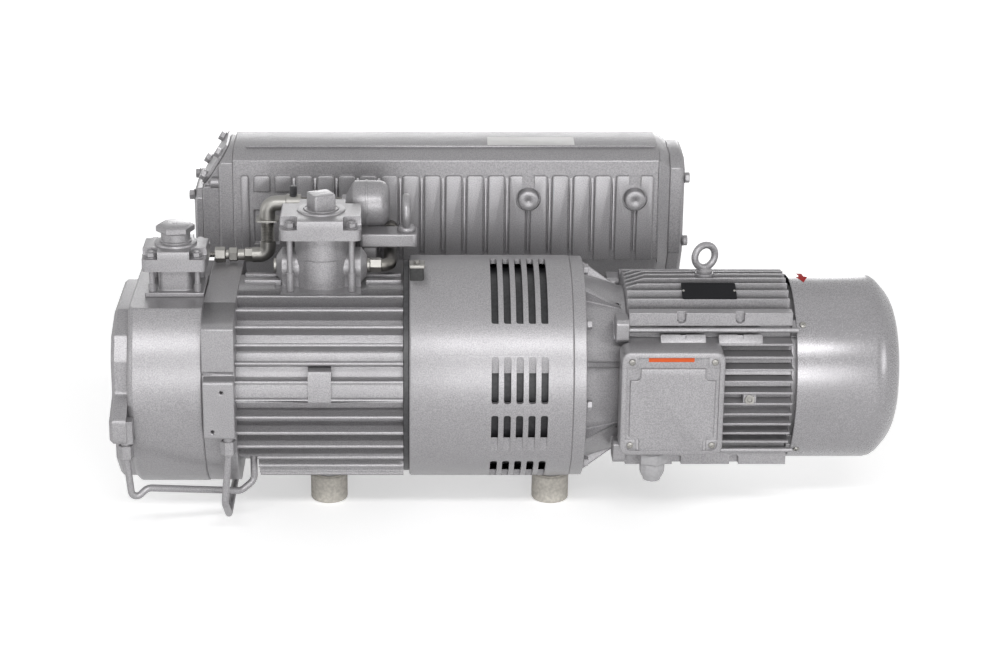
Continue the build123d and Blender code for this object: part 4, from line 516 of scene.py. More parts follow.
def node_slot(node: str) -> Slot:
    """Material slot that the record gives a CAD node.

    Args:
        node: the node's name.

    Returns:
        Its slot.
    """
    for part in frame["record"]["subparts"]:
        if part["node"] == node:
            return Slot(part["material_slot"])
    raise KeyError(node)


def polar(angle: float, r: float) -> Pair:
    """(y, z) at an angle measured from the front, upwards."""
    return (-r * cos(radians(angle)), r * sin(radians(angle)))


def in_scene(name: str, data: bpy.types.ID) -> bpy.types.Object:
    """New object of the scene.

    Args:
        name: the object's name.
        data: the mesh, lamp or camera that it shows.

    Returns:
        The object.
    """
    made = bpy.data.objects.new(name, data)
    bpy.context.scene.collection.objects.link(made)
    return made


class Shape:
    """A mesh under construction, in millimetres about the shaft line."""

    def __init__(self) -> None:
        """Start empty."""
        self.bm = bmesh.new()

    @classmethod
    def of_node(cls, node: str) -> "Shape":
        """Merged copy of a CAD node's mesh, with its flat faces whole.

        Args:
            node: the node's name.

        Returns:
            The shape.
        """
        shape = cls()
        bm = shape.bm
        bm.from_mesh(frame["nodes"][node].data)
        bmesh.ops.transform(bm, matrix=TO_FRAME.inverted(), verts=bm.verts)
        bmesh.ops.remove_doubles(bm, verts=bm.verts, dist=0.002)
        bmesh.ops.dissolve_limit(bm, angle_limit=radians(0.5), verts=bm.verts, edges=bm.edges)
        return shape

    def placed(self, made: list[bmesh.types.BMVert], centre: Vec3, axis: Vec3, turn: float) -> None:
        """Turn new points from their own +Z to an axis and move them.

        Args:
            made: the points.
            centre: where their origin goes.
            axis: where their +Z points.
            turn: degrees about that axis.
        """
        aim = Vector(axis).to_track_quat("Z", "Y").to_matrix().to_4x4()
        matrix = Matrix.Translation(centre) @ aim @ Matrix.Rotation(radians(turn), 4, "Z")
        bmesh.ops.transform(self.bm, matrix=matrix, verts=made)

    def face_outwards(self, made: list[bmesh.types.BMVert]) -> None:
        """Turn the faces about some points outwards."""
        bmesh.ops.recalc_face_normals(self.bm, faces=list({f for v in made for f in v.link_faces}))

    def _weld(self, old: set[bmesh.types.BMVert]) -> list[bmesh.types.BMVert]:
        """Merge the new points that coincide and turn their faces outwards.

        Args:
            old: the points that were there before.

        Returns:
            The new points.
        """
        fresh = [v for v in self.bm.verts if v not in old]
        bmesh.ops.remove_doubles(self.bm, verts=fresh, dist=0.001)
        made = [v for v in self.bm.verts if v not in old]
        self.face_outwards(made)
        return made

    def box(self, low: Vec3, high: Vec3) -> list[bmesh.types.BMVert]:
        """Add a box between two corners.

        Args:
            low: its lowest corner.
            high: its highest corner.

        Returns:
            Its points.
        """
        made = bmesh.ops.create_cube(self.bm, size=1.0)["verts"]
        bmesh.ops.scale(self.bm, vec=[b - a for a, b in zip(low, high)], verts=made)
        bmesh.ops.translate(self.bm, vec=[(a + b) / 2 for a, b in zip(low, high)], verts=made)
        return made

    def round(
        self, edges: Iterable[bmesh.types.BMEdge], width: float, steps: int = 3, clamp: bool = True
    ) -> None:
        """Round some edges.

        Args:
            edges: the edges.
            width: distance from the old edge to the new ones.
            steps: segments of the round.
            clamp: stop before neighbours meet.
        """
        bmesh.ops.bevel(
            self.bm,
            geom=list(edges),
            offset=width,
            segments=steps,
            profile=0.5,
            affect="EDGES",
            clamp_overlap=clamp,
            material=-1,
        )

    def slab(
        self,
        low: Vec3,
        high: Vec3,
        face: Vec3 = FRONT,
        corner: float = 3.0,
        rim: float = 1.0,
        keep: Callable[[Vector], bool] | None = None,
    ) -> None:
        """Add a box with rounded corners and a rounded rim round one face.

        Args:
            low: its lowest corner.
            high: its highest corner.
            face: the outward direction of that face.
            corner: radius of the corners round it.
            rim: radius of its rim.
            keep: a test on a corner's middle; only corners that pass are rounded.
        """
        made = self.box(low, high)
        out = Vector(face)
        edges = {edge for vert in made for edge in vert.link_edges}
        along = [e for e in edges if abs((e.verts[0].co - e.verts[1].co).normalized().dot(out)) > 0.99]
        if keep is not None:
            along = [e for e in along if keep((e.verts[0].co + e.verts[1].co) / 2)]
        known = set(self.bm.faces) - {f for vert in made for f in vert.link_faces}
        if corner > 0:
            self.round(along, corner, 4)
        if rim > 0:
            self.bm.normal_update()
            caps = [f for f in self.bm.faces if f not in known and f.normal.dot(out) > 0.99]
            self.round({e for f in caps for e in f.edges}, rim, 3)

    def turned(
        self,
        profile: Sequence[Pair],
        centre: Vec3 = (0.0, 0.0, 0.0),
        axis: Vec3 = RIGHT,
        steps: int = 32,
        turn: float = 0.0,
        closed: bool = False,
    ) -> None:
        """Add a solid of revolution.

        Args:
            profile: (distance along the axis, radius) points.
            centre: where distance 0 lies.
            axis: the direction of the axis.
            steps: number of sides; 6 makes a hexagon.
            turn: degrees about the axis.
            closed: join the last point to the first.
        """
        bm = self.bm
        verts = [bm.verts.new((r, 0.0, along)) for along, r in profile]
        edges = [bm.edges.new(pair) for pair in zip(verts, verts[1:])]
        if closed:
            edges.append(bm.edges.new((verts[-1], verts[0])))
        old = set(bm.verts) - set(verts)
        ends = {"cent": (0, 0, 0), "axis": (0, 0, 1), "dvec": (0, 0, 0)}
        bmesh.ops.spin(bm, geom=verts + edges, angle=2 * pi, steps=steps, use_merge=True, **ends)
        self.placed(self._weld(old), centre, axis, turn)

    @staticmethod
    def _bar(start: float, end: float, r: float, rim: float) -> list[Pair]:
        """Profile of a solid bar with broken rims."""
        return [(start, 0), (start, r - rim), (start + rim, r), (end - rim, r), (end, r - rim), (end, 0)]

    def hexagon(
        self, start: float, end: float, flats: float, centre: Vec3, axis: Vec3, turn: float = 0.0
    ) -> None:
        """Add a hexagon with both rims broken.

        Args:
            start: where it begins along the axis.
            end: where it ends.
            flats: size across flats.
            centre: where distance 0 lies.
            axis: the direction of the axis.
            turn: degrees about the axis.
        """
        self.turned(self._bar(start, end, flats / sqrt(3), flats * 0.05), centre, axis, 6, turn)

    def rod(
        self, start: float, end: float, r: float, centre: Vec3, axis: Vec3 = UP, rim: float = 0.5
    ) -> None:
        """Add a round bar with broken rims.

        Args:
            start: where it begins along the axis.
            end: where it ends.
            r: its radius.
            centre: where distance 0 lies.
            axis: the direction of the axis.
            rim: width of the broken rims.
        """
        self.turned(self._bar(start, end, r, rim), centre, axis)

    def torus(self, ring_r: float, wire_r: float, centre: Vec3, axis: Vec3, steps: int = 40) -> None:
        """Add a ring of round wire.

        Args:
            ring_r: radius of its centre line.
            wire_r: radius of the wire.
            centre: its middle.
            axis: the direction of its axis.
            steps: number of sides round the ring.
        """
        angles = [2 * pi * i / 14 for i in range(14)]
        profile = [(wire_r * sin(a), ring_r + wire_r * cos(a)) for a in angles]
        self.turned(profile, centre, axis, steps, closed=True)

    def prism(self, points: Sequence[Pair], x0: float, x1: float) -> list[bmesh.types.BMVert]:
        """Add a bar along the shaft with a polygon section.

        Args:
            points: (y, z) points of the section.
            x0: its left end.
            x1: its right end.

        Returns:
            Its points.
        """
        bm = self.bm
        verts = [bm.verts.new((x0, y, z)) for y, z in points]
        start = bm.faces.new(verts)
        made = bmesh.ops.extrude_face_region(bm, geom=[start], use_keep_orig=True)["geom"]
        far = [v for v in made if isinstance(v, bmesh.types.BMVert)]
        bmesh.ops.translate(bm, vec=(x1 - x0, 0, 0), verts=far)
        self.face_outwards(verts + far)
        return verts + far

    def tube(
        self, points: Sequence[Vec3], r: float, bends: Sequence[float] | float, steps: int = 7
    ) -> None:
        """Add a rigid bent tube.

        Args:
            points: corners of its route.
            r: its radius.
            bends: radius of each bend, or one for all.
            steps: divisions of a bend.
        """
        route = [Vector(p) for p in points]
        if isinstance(bends, (int, float)):
            bends = [float(bends)] * (len(route) - 2)
        line = [route[0]]
        for i, bend in enumerate(bends):
            line += self._bend(route[i], route[i + 1], route[i + 2], bend, steps)
        line.append(route[-1])
        curve = bpy.data.curves.new("route", "CURVE")
        curve.dimensions = "3D"
        curve.bevel_depth = r
        curve.bevel_resolution = 4
        curve.use_fill_caps = True
        spline = curve.splines.new("POLY")
        spline.points.add(len(line) - 1)
        for point, place in zip(spline.points, line):
            point.co = (*place, 1.0)
        holder = bpy.data.objects.new("route", curve)
        mesh = bpy.data.meshes.new_from_object(holder)
        old = set(self.bm.verts)
        self.bm.from_mesh(mesh)
        self._weld(old)
        bpy.data.objects.remove(holder)
        bpy.data.curves.remove(curve)
        bpy.data.meshes.remove(mesh)

    @staticmethod
    def _bend(before: Vector, corner: Vector, after: Vector, r: float, steps: int) -> list[Vector]:
        """Points of the arc that rounds a corner.

        Args:
            before: the point before it.
            corner: the corner.
            after: the point after it.
            r: the arc's radius.
            steps: its divisions.

        Returns:
            The points, from the run before to the run after.
        """
        u = (before - corner).normalized()
        v = (after - corner).normalized()
        half = u.angle(v) / 2
        centre = corner + (u + v).normalized() * (r / sin(half))
        start = corner + u * (r / tan(half)) - centre
        axis = start.cross(corner + v * (r / tan(half)) - centre).normalized()
        sweep = pi - 2 * half
        return [centre + Matrix.Rotation(sweep * i / steps, 3, axis) @ start for i in range(steps + 1)]

    def absorb(self, other: "Shape") -> None:
        """Take in another shape.

        Args:
            other: the shape to take in; it is used up.
        """
        mesh = bpy.data.meshes.new("part")
        other.bm.to_mesh(mesh)
        self.bm.from_mesh(mesh)
        other.bm.free()
        bpy.data.meshes.remove(mesh)

    def cut(self, cutter: "Shape") -> None:
        """Take another shape away from this one.

        Args:
            cutter: the shape to take away; it is used up.
        """
        holders = []
        for shape in (self, cutter):
            mesh = bpy.data.meshes.new("cutting")
            shape.bm.to_mesh(mesh)
            holders.append(in_scene("cutting", mesh))
        body, tool = holders
        step = body.modifiers.new("cut", "BOOLEAN")
        step.operation = "DIFFERENCE"
        step.solver = "EXACT"
        step.use_self = True
        step.object = tool
        bpy.context.view_layer.update()
        seen = body.evaluated_get(bpy.context.evaluated_depsgraph_get())
        self.bm.clear()
        self.bm.from_mesh(seen.data)
        cutter.bm.free()
        for holder in holders:
            mesh = holder.data
            bpy.data.objects.remove(holder)
            bpy.data.meshes.remove(mesh)

    def piece(
        self,
        name: str,
        slot: Slot | Extra,
        nodes: Sequence[str] = (),
        body: Body = Body.HOUSING,
        edge: float = 0.0,
        sharp: float = 32.0,
        steps: int = 2,
    ) -> bpy.types.Object:
        """Finish the shape as an object of the scene.

        Args:
            name: the piece's name.
            slot: its finish.
            nodes: CAD nodes that it stands for.
            body: the body that it moves with.
            edge: width in millimetres by which a modifier breaks its edges.
            sharp: edges above this many degrees stay sharp.
            steps: segments of the broken edges.

        Returns:
            The object.
        """
        bm = self.bm
        bmesh.ops.transform(bm, matrix=TO_FRAME, verts=bm.verts)
        bm.normal_update()
        for made in bm.edges:
            made.smooth = len(made.link_faces) == 2 and made.calc_face_angle(pi) < radians(sharp)
        for face in bm.faces:
            face.smooth = True
        mesh = bpy.data.meshes.new(name)
        bm.to_mesh(mesh)
        bm.free()
        piece = in_scene(name, mesh)
        if edge > 0:
            bevel = piece.modifiers.new("edges", "BEVEL")
            bevel.width = edge * 0.001
            bevel.segments = steps
            bevel.limit_method = "ANGLE"
            bevel.angle_limit = radians(sharp)
            bevel.miter_outer = "MITER_SHARP"
            bevel.use_clamp_overlap = False
        SHOP.coat(piece, slot)
        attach(piece, body.value)
        if nodes:
            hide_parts(*nodes)
        log.info("%s: %d faces", name, len(mesh.polygons))
        return piece


@dataclass
class Recast:
    """A CAD node's shape with merged points, smooth round faces and broken edges."""

    node: str
    edge: float = 0.8
    steps: int = 2
    sharp: float = 32.0

    def make(self) -> bpy.types.Object:
        """Build the smooth copy and let it stand for the node.

        Returns:
            The new piece.
        """
        body = Body(frame["nodes"][self.node]["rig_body"])
        shape = Shape.of_node(self.node)
        slot = node_slot(self.node)
        return shape.piece(self.node + "_skin", slot, [self.node], body, self.edge, self.sharp, self.steps)


Widths = tuple[tuple[str, float], ...]


def recast_all(widths: Widths) -> None:
    """Recast several nodes, each with its own width of broken edge."""
    for node, width in widths:
        Recast(node, width, 3).make()


@dataclass
class PumpBlock:
    """Cylinder, drum and side plates of the pump."""

    tip_r: float = 154.0
    tip_round: float = 2.1
    crown_x: Pairs = ((-270.0, -218.0), (-103.0, -53.0))
    # near side, far side and top of each rib
    crown_y: tuple[Triple, ...] = ((-20.0, -8.0, 131.3), (4.0, 14.0, 131.8))
    crown_root: float = 122.0
    plates: Widths = (("stage_drum", 2.2), ("left_end_plate", 0.0), ("middle_side_plate", 1.6))

    def build(self) -> None:
        """Build the pump block."""
        self._fins()
        recast_all(self.plates)
        # painted shade: the drive side plate is painted cast iron, coated black here to stand for the
        # shaded gap between the drum and the shroud
        SHOP.coat(Recast("drive_side_plate", 0.8).make(), Slot.PLASTIC)
        ribs = Shape()
        for x0, x1 in self.crown_x:
            for y0, y1, top in self.crown_y:
                ribs.slab((x0, y0, self.crown_root), (x1, y1, top), UP, 1.5, 1.0)
        ribs.piece("crown_ribs", Slot.PAINT, sharp=34.0)

    def _fins(self) -> None:
        """Cylinder casting with rounded fin tips."""
        shape = Shape.of_node("cylinder_casting")
        shortest, near = 8.0, self.tip_r - 2.2
        tips = []
        for edge in shape.bm.edges:
            a, b = (v.co for v in edge.verts)
            if abs(a.x - b.x) < shortest or min(a.yz.length, b.yz.length) < near:
                continue
            if len(edge.link_faces) == 2 and edge.calc_face_angle(0) > radians(40):
                tips.append(edge)
        shape.round(tips, self.tip_round, 3, clamp=False)
        shape.piece("cylinder_fins", Slot.PAINT, ["cylinder_casting"], sharp=34.0)


@dataclass(frozen=True)
class SlotRow:
    """A row of slots: the (y, z) outline of their cutter and the two runs of it that end a slot."""

    outline: Pairs
    ends: tuple[int, int]


@dataclass
class FanShroud:
    """Slotted round fan housing."""

    x: Pair = (-43.0, 178.0)
    r: float = 154.0
    wall: float = 7.0
    lip_r: float = 104.0
    left_round: Pairs = ((0.0, 3.0), (0.5, 1.4), (1.4, 0.5), (3.0, 0.0))
    right_rim: float = 1.0
    slot_x: float = 72.5
    pitch: float = 16.7
    columns: int = 5
    width: float = 9.7
    slot_round: float = 3.2
    # x, radius and lower end of the round foot
    foot: Triple = (157.0, 20.0, -160.0)
    # left end, right end, inner and outer radius of a black band that turns with the fan and paints the
    # shade inside the slots
    slot_shade_band: Four = (62.0, 148.0, 134.0, 138.0)
    # two corners of the arm that reaches back to the separator
    arm: tuple[Vec3, Vec3] = ((10.0, 141.0, -60.0), (50.0, 216.0, 45.0))
    rows: tuple[SlotRow, ...] = (
        SlotRow(
            ((-132.0, 0.0), (-166.0, 0.0), (-166.0, 63.0), (-140.7, 62.6), (-141.5, 39.5), (-132.0, 38.5)),
            (0, 2),
        ),
        SlotRow(
            (
                (-126.0, -17.0), (-166.0, -17.5), (-166.0, -75.0), (-134.7, -74.7),
                (-136.3, -55.0), (-126.0, -53.5),
            ),
            (0, 2),
        ),
        SlotRow(
            (
                (-95.0, -78.0), (-128.0, -102.0), (-118.0, -156.0), (-62.0, -141.0),
                (-78.0, -120.0), (-70.0, -108.0),
            ),
            (0, 2),
        ),
        SlotRow(
            (polar(41, 140.0), polar(41, 164.0), (-60.0, 164.0), polar(92, 164.0), polar(92, 140.0)),
            (0, 3),
        ),
    )

    def build(self) -> None:
        """Build the shroud, cut its slots and add a black band behind them as painted shade inside the
        slots.
        """
        x0, x1 = self.x
        r, inner = self.r, self.r - self.wall
        body = Shape()
        outline = [(x0, self.lip_r)] + [(x0 + a, r - b) for a, b in self.left_round]
        outline += [(x1 - self.right_rim, r), (x1, r - self.right_rim), (x1, inner)]
        outline += [(x0 + self.wall, inner), (x0 + self.wall, self.lip_r)]
        body.turned(outline, steps=144, closed=True)
        body.cut(self._slots())
        foot_x, foot_r, foot_z = self.foot
        body.rod(foot_z, -inner + 1.5, foot_r, (foot_x, 0, 0))
        body.slab(*self.arm, BACK, 6.0, 1.0)
        body.piece("slotted_shroud", Slot.PAINT, ["fan_shroud"], sharp=30.0)
        # painted shade: a black band behind the slots darkens what is seen through them
        slot_shade_band = Shape()
        bx0, bx1, low_r, high_r = self.slot_shade_band
        slot_shade_band.turned([(bx0, low_r), (bx0, high_r), (bx1, high_r), (bx1, low_r)], steps=96, closed=True)
        slot_shade_band.piece("painted_slot_shade", Slot.PLASTIC, body=Body.PUMP)

    def _slots(self) -> Shape:
        """Cutters of all slots.

        Returns:
            The cutters in one shape.
        """
        tools = Shape()
        for row in self.rows:
            for column in range(self.columns):
                self._slot(tools, row, self.slot_x + column * self.pitch)
        return tools

    def _slot(self, tools: Shape, row: SlotRow, x: float) -> None:
        """Add one slot's cutter.

        Args:
            tools: the shape that takes it.
            row: the slot's row.
            x: its middle.
        """
        made = tools.prism(row.outline, x - self.width / 2, x + self.width / 2)
        count = len(row.outline)
        chosen = []
        for half in (0, count):
            for run in row.ends:
                a = made[half + run]
                b = made[half + (run + 1) % count]
                chosen += [e for e in a.link_edges if e.other_vert(a) is b]
        tools.round(chosen, self.slot_round, 4)


@dataclass
class SeparatorBox:
    """Oil separator: ribbed front wall, roof bead, blank roof label, covers and the exhaust end."""

    front: float = 180.0
    cut_y: float = 180.2
    panels: int = 17
    panel_x: float = -206.0
    pitch: float = 30.66
    width: float = 24.2
    proud: float = 5.0
    root: float = 1.0
    strip: float = 12.0
    low: float = 98.0
    top: float = 224.8
    # height of a rib's crest and of its foot, at its upper end
    rib_top: Pair = (204.0, 222.0)
    rib_low: float = 113.0
    rib_proud: float = 6.5
    rib_half: float = 1.7
    rib_taper: float = 0.45
    boss_r: float = 14.7
    boss_z: float = 190.7
    # a boss stands to the left of each of these panels
    boss_after: tuple[int, int] = (11, 16)
    boss_profile: Pairs = (
        (-1.0, 0.0), (-1.0, 15.9), (0.5, 15.5), (2.0, 14.7), (15.0, 14.7), (16.3, 14.1),
        (17.0, 12.7), (17.0, 3.0), (16.4, 2.2), (16.4, 0.0),
    )
    relief_r: float = 18.2
    relief_half: float = 9.0
    # left end, right end, y and z
    bead: Four = (-279.0, 311.0, 210.0, 258.6)
    # left, right, near and far edge
    label: Four = (70.0, 196.0, 217.0, 254.0)
    roof_slope: float = 0.07
    closures: Widths = (
        ("separator_right_cover", 1.6),
        ("separator_left_cover", 1.4),
        ("exhaust_plate", 1.2),
        ("oil_filter", 2.0),
        ("sight_glass", 0.8),
        ("screw_plugs", 0.5),
    )

    def build(self) -> None:
        """Build the separator."""
        self._shell()
        self._wall()
        self._roof()
        recast_all(self.closures)

    def boss_places(self) -> list[float]:
        """x of each boss."""
        return [self.panel_x + i * self.pitch - (self.pitch - self.width) / 2 for i in self.boss_after]

    def _shell(self) -> None:
        """The hollow box without its raised front."""
        shape = Shape.of_node("separator_housing")
        bm = shape.bm
        geom = list(bm.verts) + list(bm.edges) + list(bm.faces)
        plane = {"plane_co": (0, self.cut_y, 0), "plane_no": FRONT}
        bmesh.ops.bisect_plane(bm, geom=geom, clear_outer=True, dist=0.001, **plane)
        rim = [e for e in bm.edges if len(e.link_faces) == 1]
        bmesh.ops.triangle_fill(bm, edges=rim, use_beauty=True, use_dissolve=False, normal=FRONT)
        bmesh.ops.dissolve_limit(bm, angle_limit=radians(0.5), verts=bm.verts, edges=bm.edges)
        shape.piece("separator_shell", Slot.PAINT, ["separator_housing"], edge=1.6, steps=3)

    def _wall(self) -> None:
        """Raised panels, ribs and bosses of the front wall."""
        y0, y1 = self.front - self.proud, self.front + self.root
        whole, notched = Shape(), Shape()
        gap = self.pitch - self.width
        near = set(self.boss_after) | {i - 1 for i in self.boss_after}
        for i in range(self.panels):
            x = self.panel_x + i * self.pitch
            target = notched if i in near else whole
            self._panel(target, x, x + self.width, self.low)
            if i not in self.boss_after:
                self._rib(whole, x - gap / 2, self.rib_top)
        for x in self.boss_places():
            self._rib(whole, x, (self.boss_z - self.boss_r - 3, self.boss_z - self.boss_r))
        for i in (1, 2):
            x = self.panel_x - i * self.pitch
            self._panel(whole, x, x + self.width, self.top - self.width)
        x = self.panel_x - 2 * self.pitch - gap - self.strip
        self._panel(whole, x, x + self.strip, self.low)
        tools = Shape()
        half, over = self.relief_half, 9.0
        for x in self.boss_places():
            tools.rod(-8.0, 14.0, self.relief_r, (x, self.front, self.boss_z), FRONT)
            tools.box((x - half, y0 - over, self.boss_z), (x + half, y1 + 4.0, self.top + over))
        notched.cut(tools)
        whole.piece("separator_panels", Slot.PAINT, sharp=50.0)
        notched.piece("separator_boss_panels", Slot.PAINT, sharp=40.0)
        bosses = Shape()
        for x in self.boss_places():
            bosses.turned(self.boss_profile, (x, self.front, self.boss_z), FRONT, 40)
        bosses.piece("separator_bosses", Slot.PAINT, sharp=40.0)

    def _panel(self, shape: Shape, x0: float, x1: float, low: float) -> None:
        """Add one raised panel with round upper corners.

        Args:
            shape: the shape that takes it.
            x0: its left edge.
            x1: its right edge.
            low: its lower edge.
        """
        middle = (low + self.top) / 2
        corner = min(4.5, (x1 - x0) * 0.3)
        lower = (x0, self.front - self.proud, low)
        upper = (x1, self.front + self.root, self.top)
        shape.slab(lower, upper, FRONT, corner, 1.9, keep=lambda at: at.z > middle)

    def _rib(self, shape: Shape, x: float, top: Pair) -> None:
        """Add one thin tapered rib that slopes into the wall at its top.

        Args:
            shape: the shape that takes it.
            x: its middle.
            top: height of its crest's end and of its foot's end.
        """
        crest_top, foot_top = top
        half = self.rib_half
        low = (x - half, self.front - self.rib_proud, self.rib_low)
        for vert in shape.box(low, (x + half, self.front + self.root, foot_top)):
            if vert.co.y < self.front:
                vert.co.x = x + (vert.co.x - x) * self.rib_taper
                if vert.co.z > self.rib_low + 5:
                    vert.co.z = crest_top

    def _roof(self) -> None:
        """Bead along the ridge and the blank label."""
        x0, x1, y, z = self.bead
        bead = Shape()
        bead.rod(0.0, x1 - x0, 2.0, (x0, y, z + 0.7), RIGHT, 0.8)
        bead.piece("separator_ridge_bead", Slot.PAINT, sharp=60.0)
        label = Shape()
        lx0, lx1, ly0, ly1 = self.label
        label.slab((lx0, ly0, z - 0.5), (lx1, ly1, z + 0.25), UP, 2.0, 0.15)
        for vert in label.bm.verts:
            vert.co.z += (vert.co.y - y) * self.roof_slope
        label.piece("roof_label", Extra.LABEL)


@dataclass(frozen=True)
class StuddedCover:
    """Square cover with a pocket at each corner, held by a stud and a nut in each pocket.

    The studs start at foot, the cover lies on under, and turn is the nuts' angle in degrees. A pocket
    has a side and a depth, a sleeve a radius and its share of the stud, a washer a radius and a
    thickness, a nut its size across flats and its height over the pocket's floor.
    """

    x: float
    y: float
    foot: float
    under: float
    size: float
    pitch: float
    pocket: Pair
    corner: float
    turn: float
    hole_r: float = 0.0
    thickness: float = 28.0
    beyond: float = 12.0
    stud_r: float = 4.0
    stud_proud: float = 9.0
    sleeve: Pair = (5.2, 0.35)
    washer: Pair = (9.0, 1.4)
    nut: Pair = (13.0, 7.5)

    @property
    def centre(self) -> Vec3:
        """Middle of the cover's underside."""
        return (self.x, self.y, self.under)

    def plate(self) -> Shape:
        """Make the plate with its pockets and its bore.

        Returns:
            The plate.
        """
        x, y, z = self.centre
        half, top = self.size / 2, self.under + self.thickness
        cover = Shape()
        cover.slab((x - half, y - half, z), (x + half, y + half, top), UP, self.corner, 2.0)
        tools = Shape()
        side, depth = self.pocket
        near, far = half - side, half + self.beyond
        for sx in (-1, 1):
            for sy in (-1, 1):
                xs = sorted((x + sx * near, x + sx * far))
                ys = sorted((y + sy * near, y + sy * far))
                low = (xs[0], ys[0], top - depth)
                tools.slab(low, (xs[1], ys[1], top + self.beyond), DOWN, 6.0, 1.2)
        if self.hole_r > 0:
            tools.rod(-5.0, self.thickness + 9.0, self.hole_r, self.centre)
        cover.cut(tools)
        return cover

    def studs(self) -> Shape:
        """Make the four studs with their washers and nuts.

        Returns:
            The studs.
        """
        shape = Shape()
        half = self.pitch / 2
        seat = self.under + self.thickness - self.pocket[1]
        sleeve_r, share = self.sleeve
        washer_r, washer_t = self.washer
        flats, height = self.nut
        for x in (self.x - half, self.x + half):
            for y in (self.y - half, self.y + half):
                at = (x, y, 0)
                shape.rod(self.foot, seat + self.stud_proud, self.stud_r, at)
                shape.rod(self.foot, self.foot + (self.under - self.foot) * share, sleeve_r, at)
                shape.rod(seat, seat + washer_t, washer_r, at, rim=0.4)
                shape.hexagon(seat + washer_t, seat + height, flats, at, UP, self.turn)
        return shape


@dataclass
class InletTower:
    """Inlet body with its cover, plug and studs."""

    cover: StuddedCover = StuddedCover(
        x=-163.0, y=-10.0, foot=126.0, under=201.0, size=110.0, pitch=84.0,
        pocket=(24.0, 13.0), corner=7.0, turn=15.0, hole_r=24.0,
    )
    ring: Pairs = (
        (1.0, 24.0), (1.0, 31.0), (27.0, 33.0), (28.8, 33.0), (29.7, 32.6), (30.0, 31.8),
        (30.0, 25.0), (29.0, 24.0),
    )
    ring_top: float = 231.0
    # side, height and degrees of turn
    plug: Triple = (31.0, 22.0, 25.0)
    neck: Bar = (-20.0, 0.4, 23.8)
    # radius of the ring, radius of its wire and how far it stands up
    seal: Triple = (23.0, 1.0, 0.2)

    def build(self) -> None:
        """Build the tower."""
        Recast("inlet_body", 0.3, 1).make()
        flange = self.cover.plate()
        flange.turned(self.ring, self.cover.centre, UP, 64, closed=True)
        flange.piece("inlet_flange", Slot.PAINT, ["inlet_cover"], sharp=34.0)
        self._plug()
        self.cover.studs().piece("inlet_studs", Slot.PAINT, sharp=34.0)

    def _plug(self) -> None:
        """Square-headed plug with a fine groove across its head."""
        side, height, turn = self.plug
        half, over = side / 2, 1
        place = (self.cover.x, self.cover.y, self.ring_top)
        plug = Shape()
        plug.slab((-half, -half, 0), (half, half, height), UP, 2.6, 1.6)
        groove = Shape()
        groove.box((-half - over, -0.5, height - 0.6), (half + over, 0.5, height + over))
        plug.cut(groove)
        bmesh.ops.transform(plug.bm, matrix=Matrix.Rotation(radians(turn), 4, "Z"), verts=plug.bm.verts)
        bmesh.ops.translate(plug.bm, vec=place, verts=plug.bm.verts)
        plug.rod(*self.neck, place, rim=0.8)
        wide, wire, rise = self.seal
        plug.torus(wide, wire, (place[0], place[1], place[2] + rise), UP)
        plug.piece("inlet_square_plug", Slot.PAINT, ["inlet_plug"], sharp=34.0)


@dataclass
class BallastBlock:
    """Gas ballast block on the drum."""

    cover: StuddedCover = StuddedCover(
        x=-362.0, y=-20.0, foot=126.0, under=157.0, size=87.0, pitch=62.0,
        pocket=(22.0, 11.0), corner=6.0, turn=0.0,
    )
    collar: Pairs = (
        (8.0, 0.0), (8.0, 28.0), (12.0, 29.0), (29.6, 29.0), (30.6, 28.5), (31.0, 27.6),
        (31.0, 0.0),
    )
    collar_top: float = 188.0
    neck: Pairs = (
        (0.0, 0.0), (0.0, 22.0), (2.0, 22.0), (3.0, 20.0), (13.0, 20.0), (14.2, 21.0),
        (14.2, 0.0),
    )
    # size across flats and degrees of turn
    cap: Pair = (46.0, 8.0)
    # (height, distance from the hexagon's corner radius) points
    cap_profile: Pairs = (
        (14.0, -2.0), (15.5, 0.0), (22.0, 0.0), (24.2, -3.0), (25.0, -5.5),
    )
    cap_hollow: Pairs = ((25.0, 3.4), (23.0, 2.4), (23.0, 0.0))

    def build(self) -> None:
        """Build the block."""
        Recast("ballast_body", 1.4, 3).make()
        flange = self.cover.plate()
        flange.turned(self.collar, self.cover.centre, UP, 56)
        flange.piece("ballast_flange", Slot.PAINT, ["ballast_cover"], sharp=34.0)
        plug = Shape()
        place = (self.cover.x, self.cover.y, self.collar_top)
        plug.turned(self.neck, place, UP, 48)
        flats, turn = self.cap
        r = flats / sqrt(3)
        head = [(14.0, 0.0)] + [(a, r + b) for a, b in self.cap_profile] + list(self.cap_hollow)
        plug.turned(head, place, UP, 6, turn)
        plug.piece("ballast_cap", Slot.PAINT, ["ballast_plug"], sharp=30.0)
        self.cover.studs().piece("ballast_studs", Slot.PAINT, ["cover_studs"], sharp=34.0)


@dataclass(frozen=True)
class Run:
    """A rigid bent tube: the corners of its route, its radius and the radius of its bends."""

    points: tuple[Vec3, ...]
    r: float
    bends: float | tuple[float, ...]

    def lay(self, shape: Shape) -> None:
        """Add the tube to a shape."""
        shape.tube(self.points, self.r, self.bends)


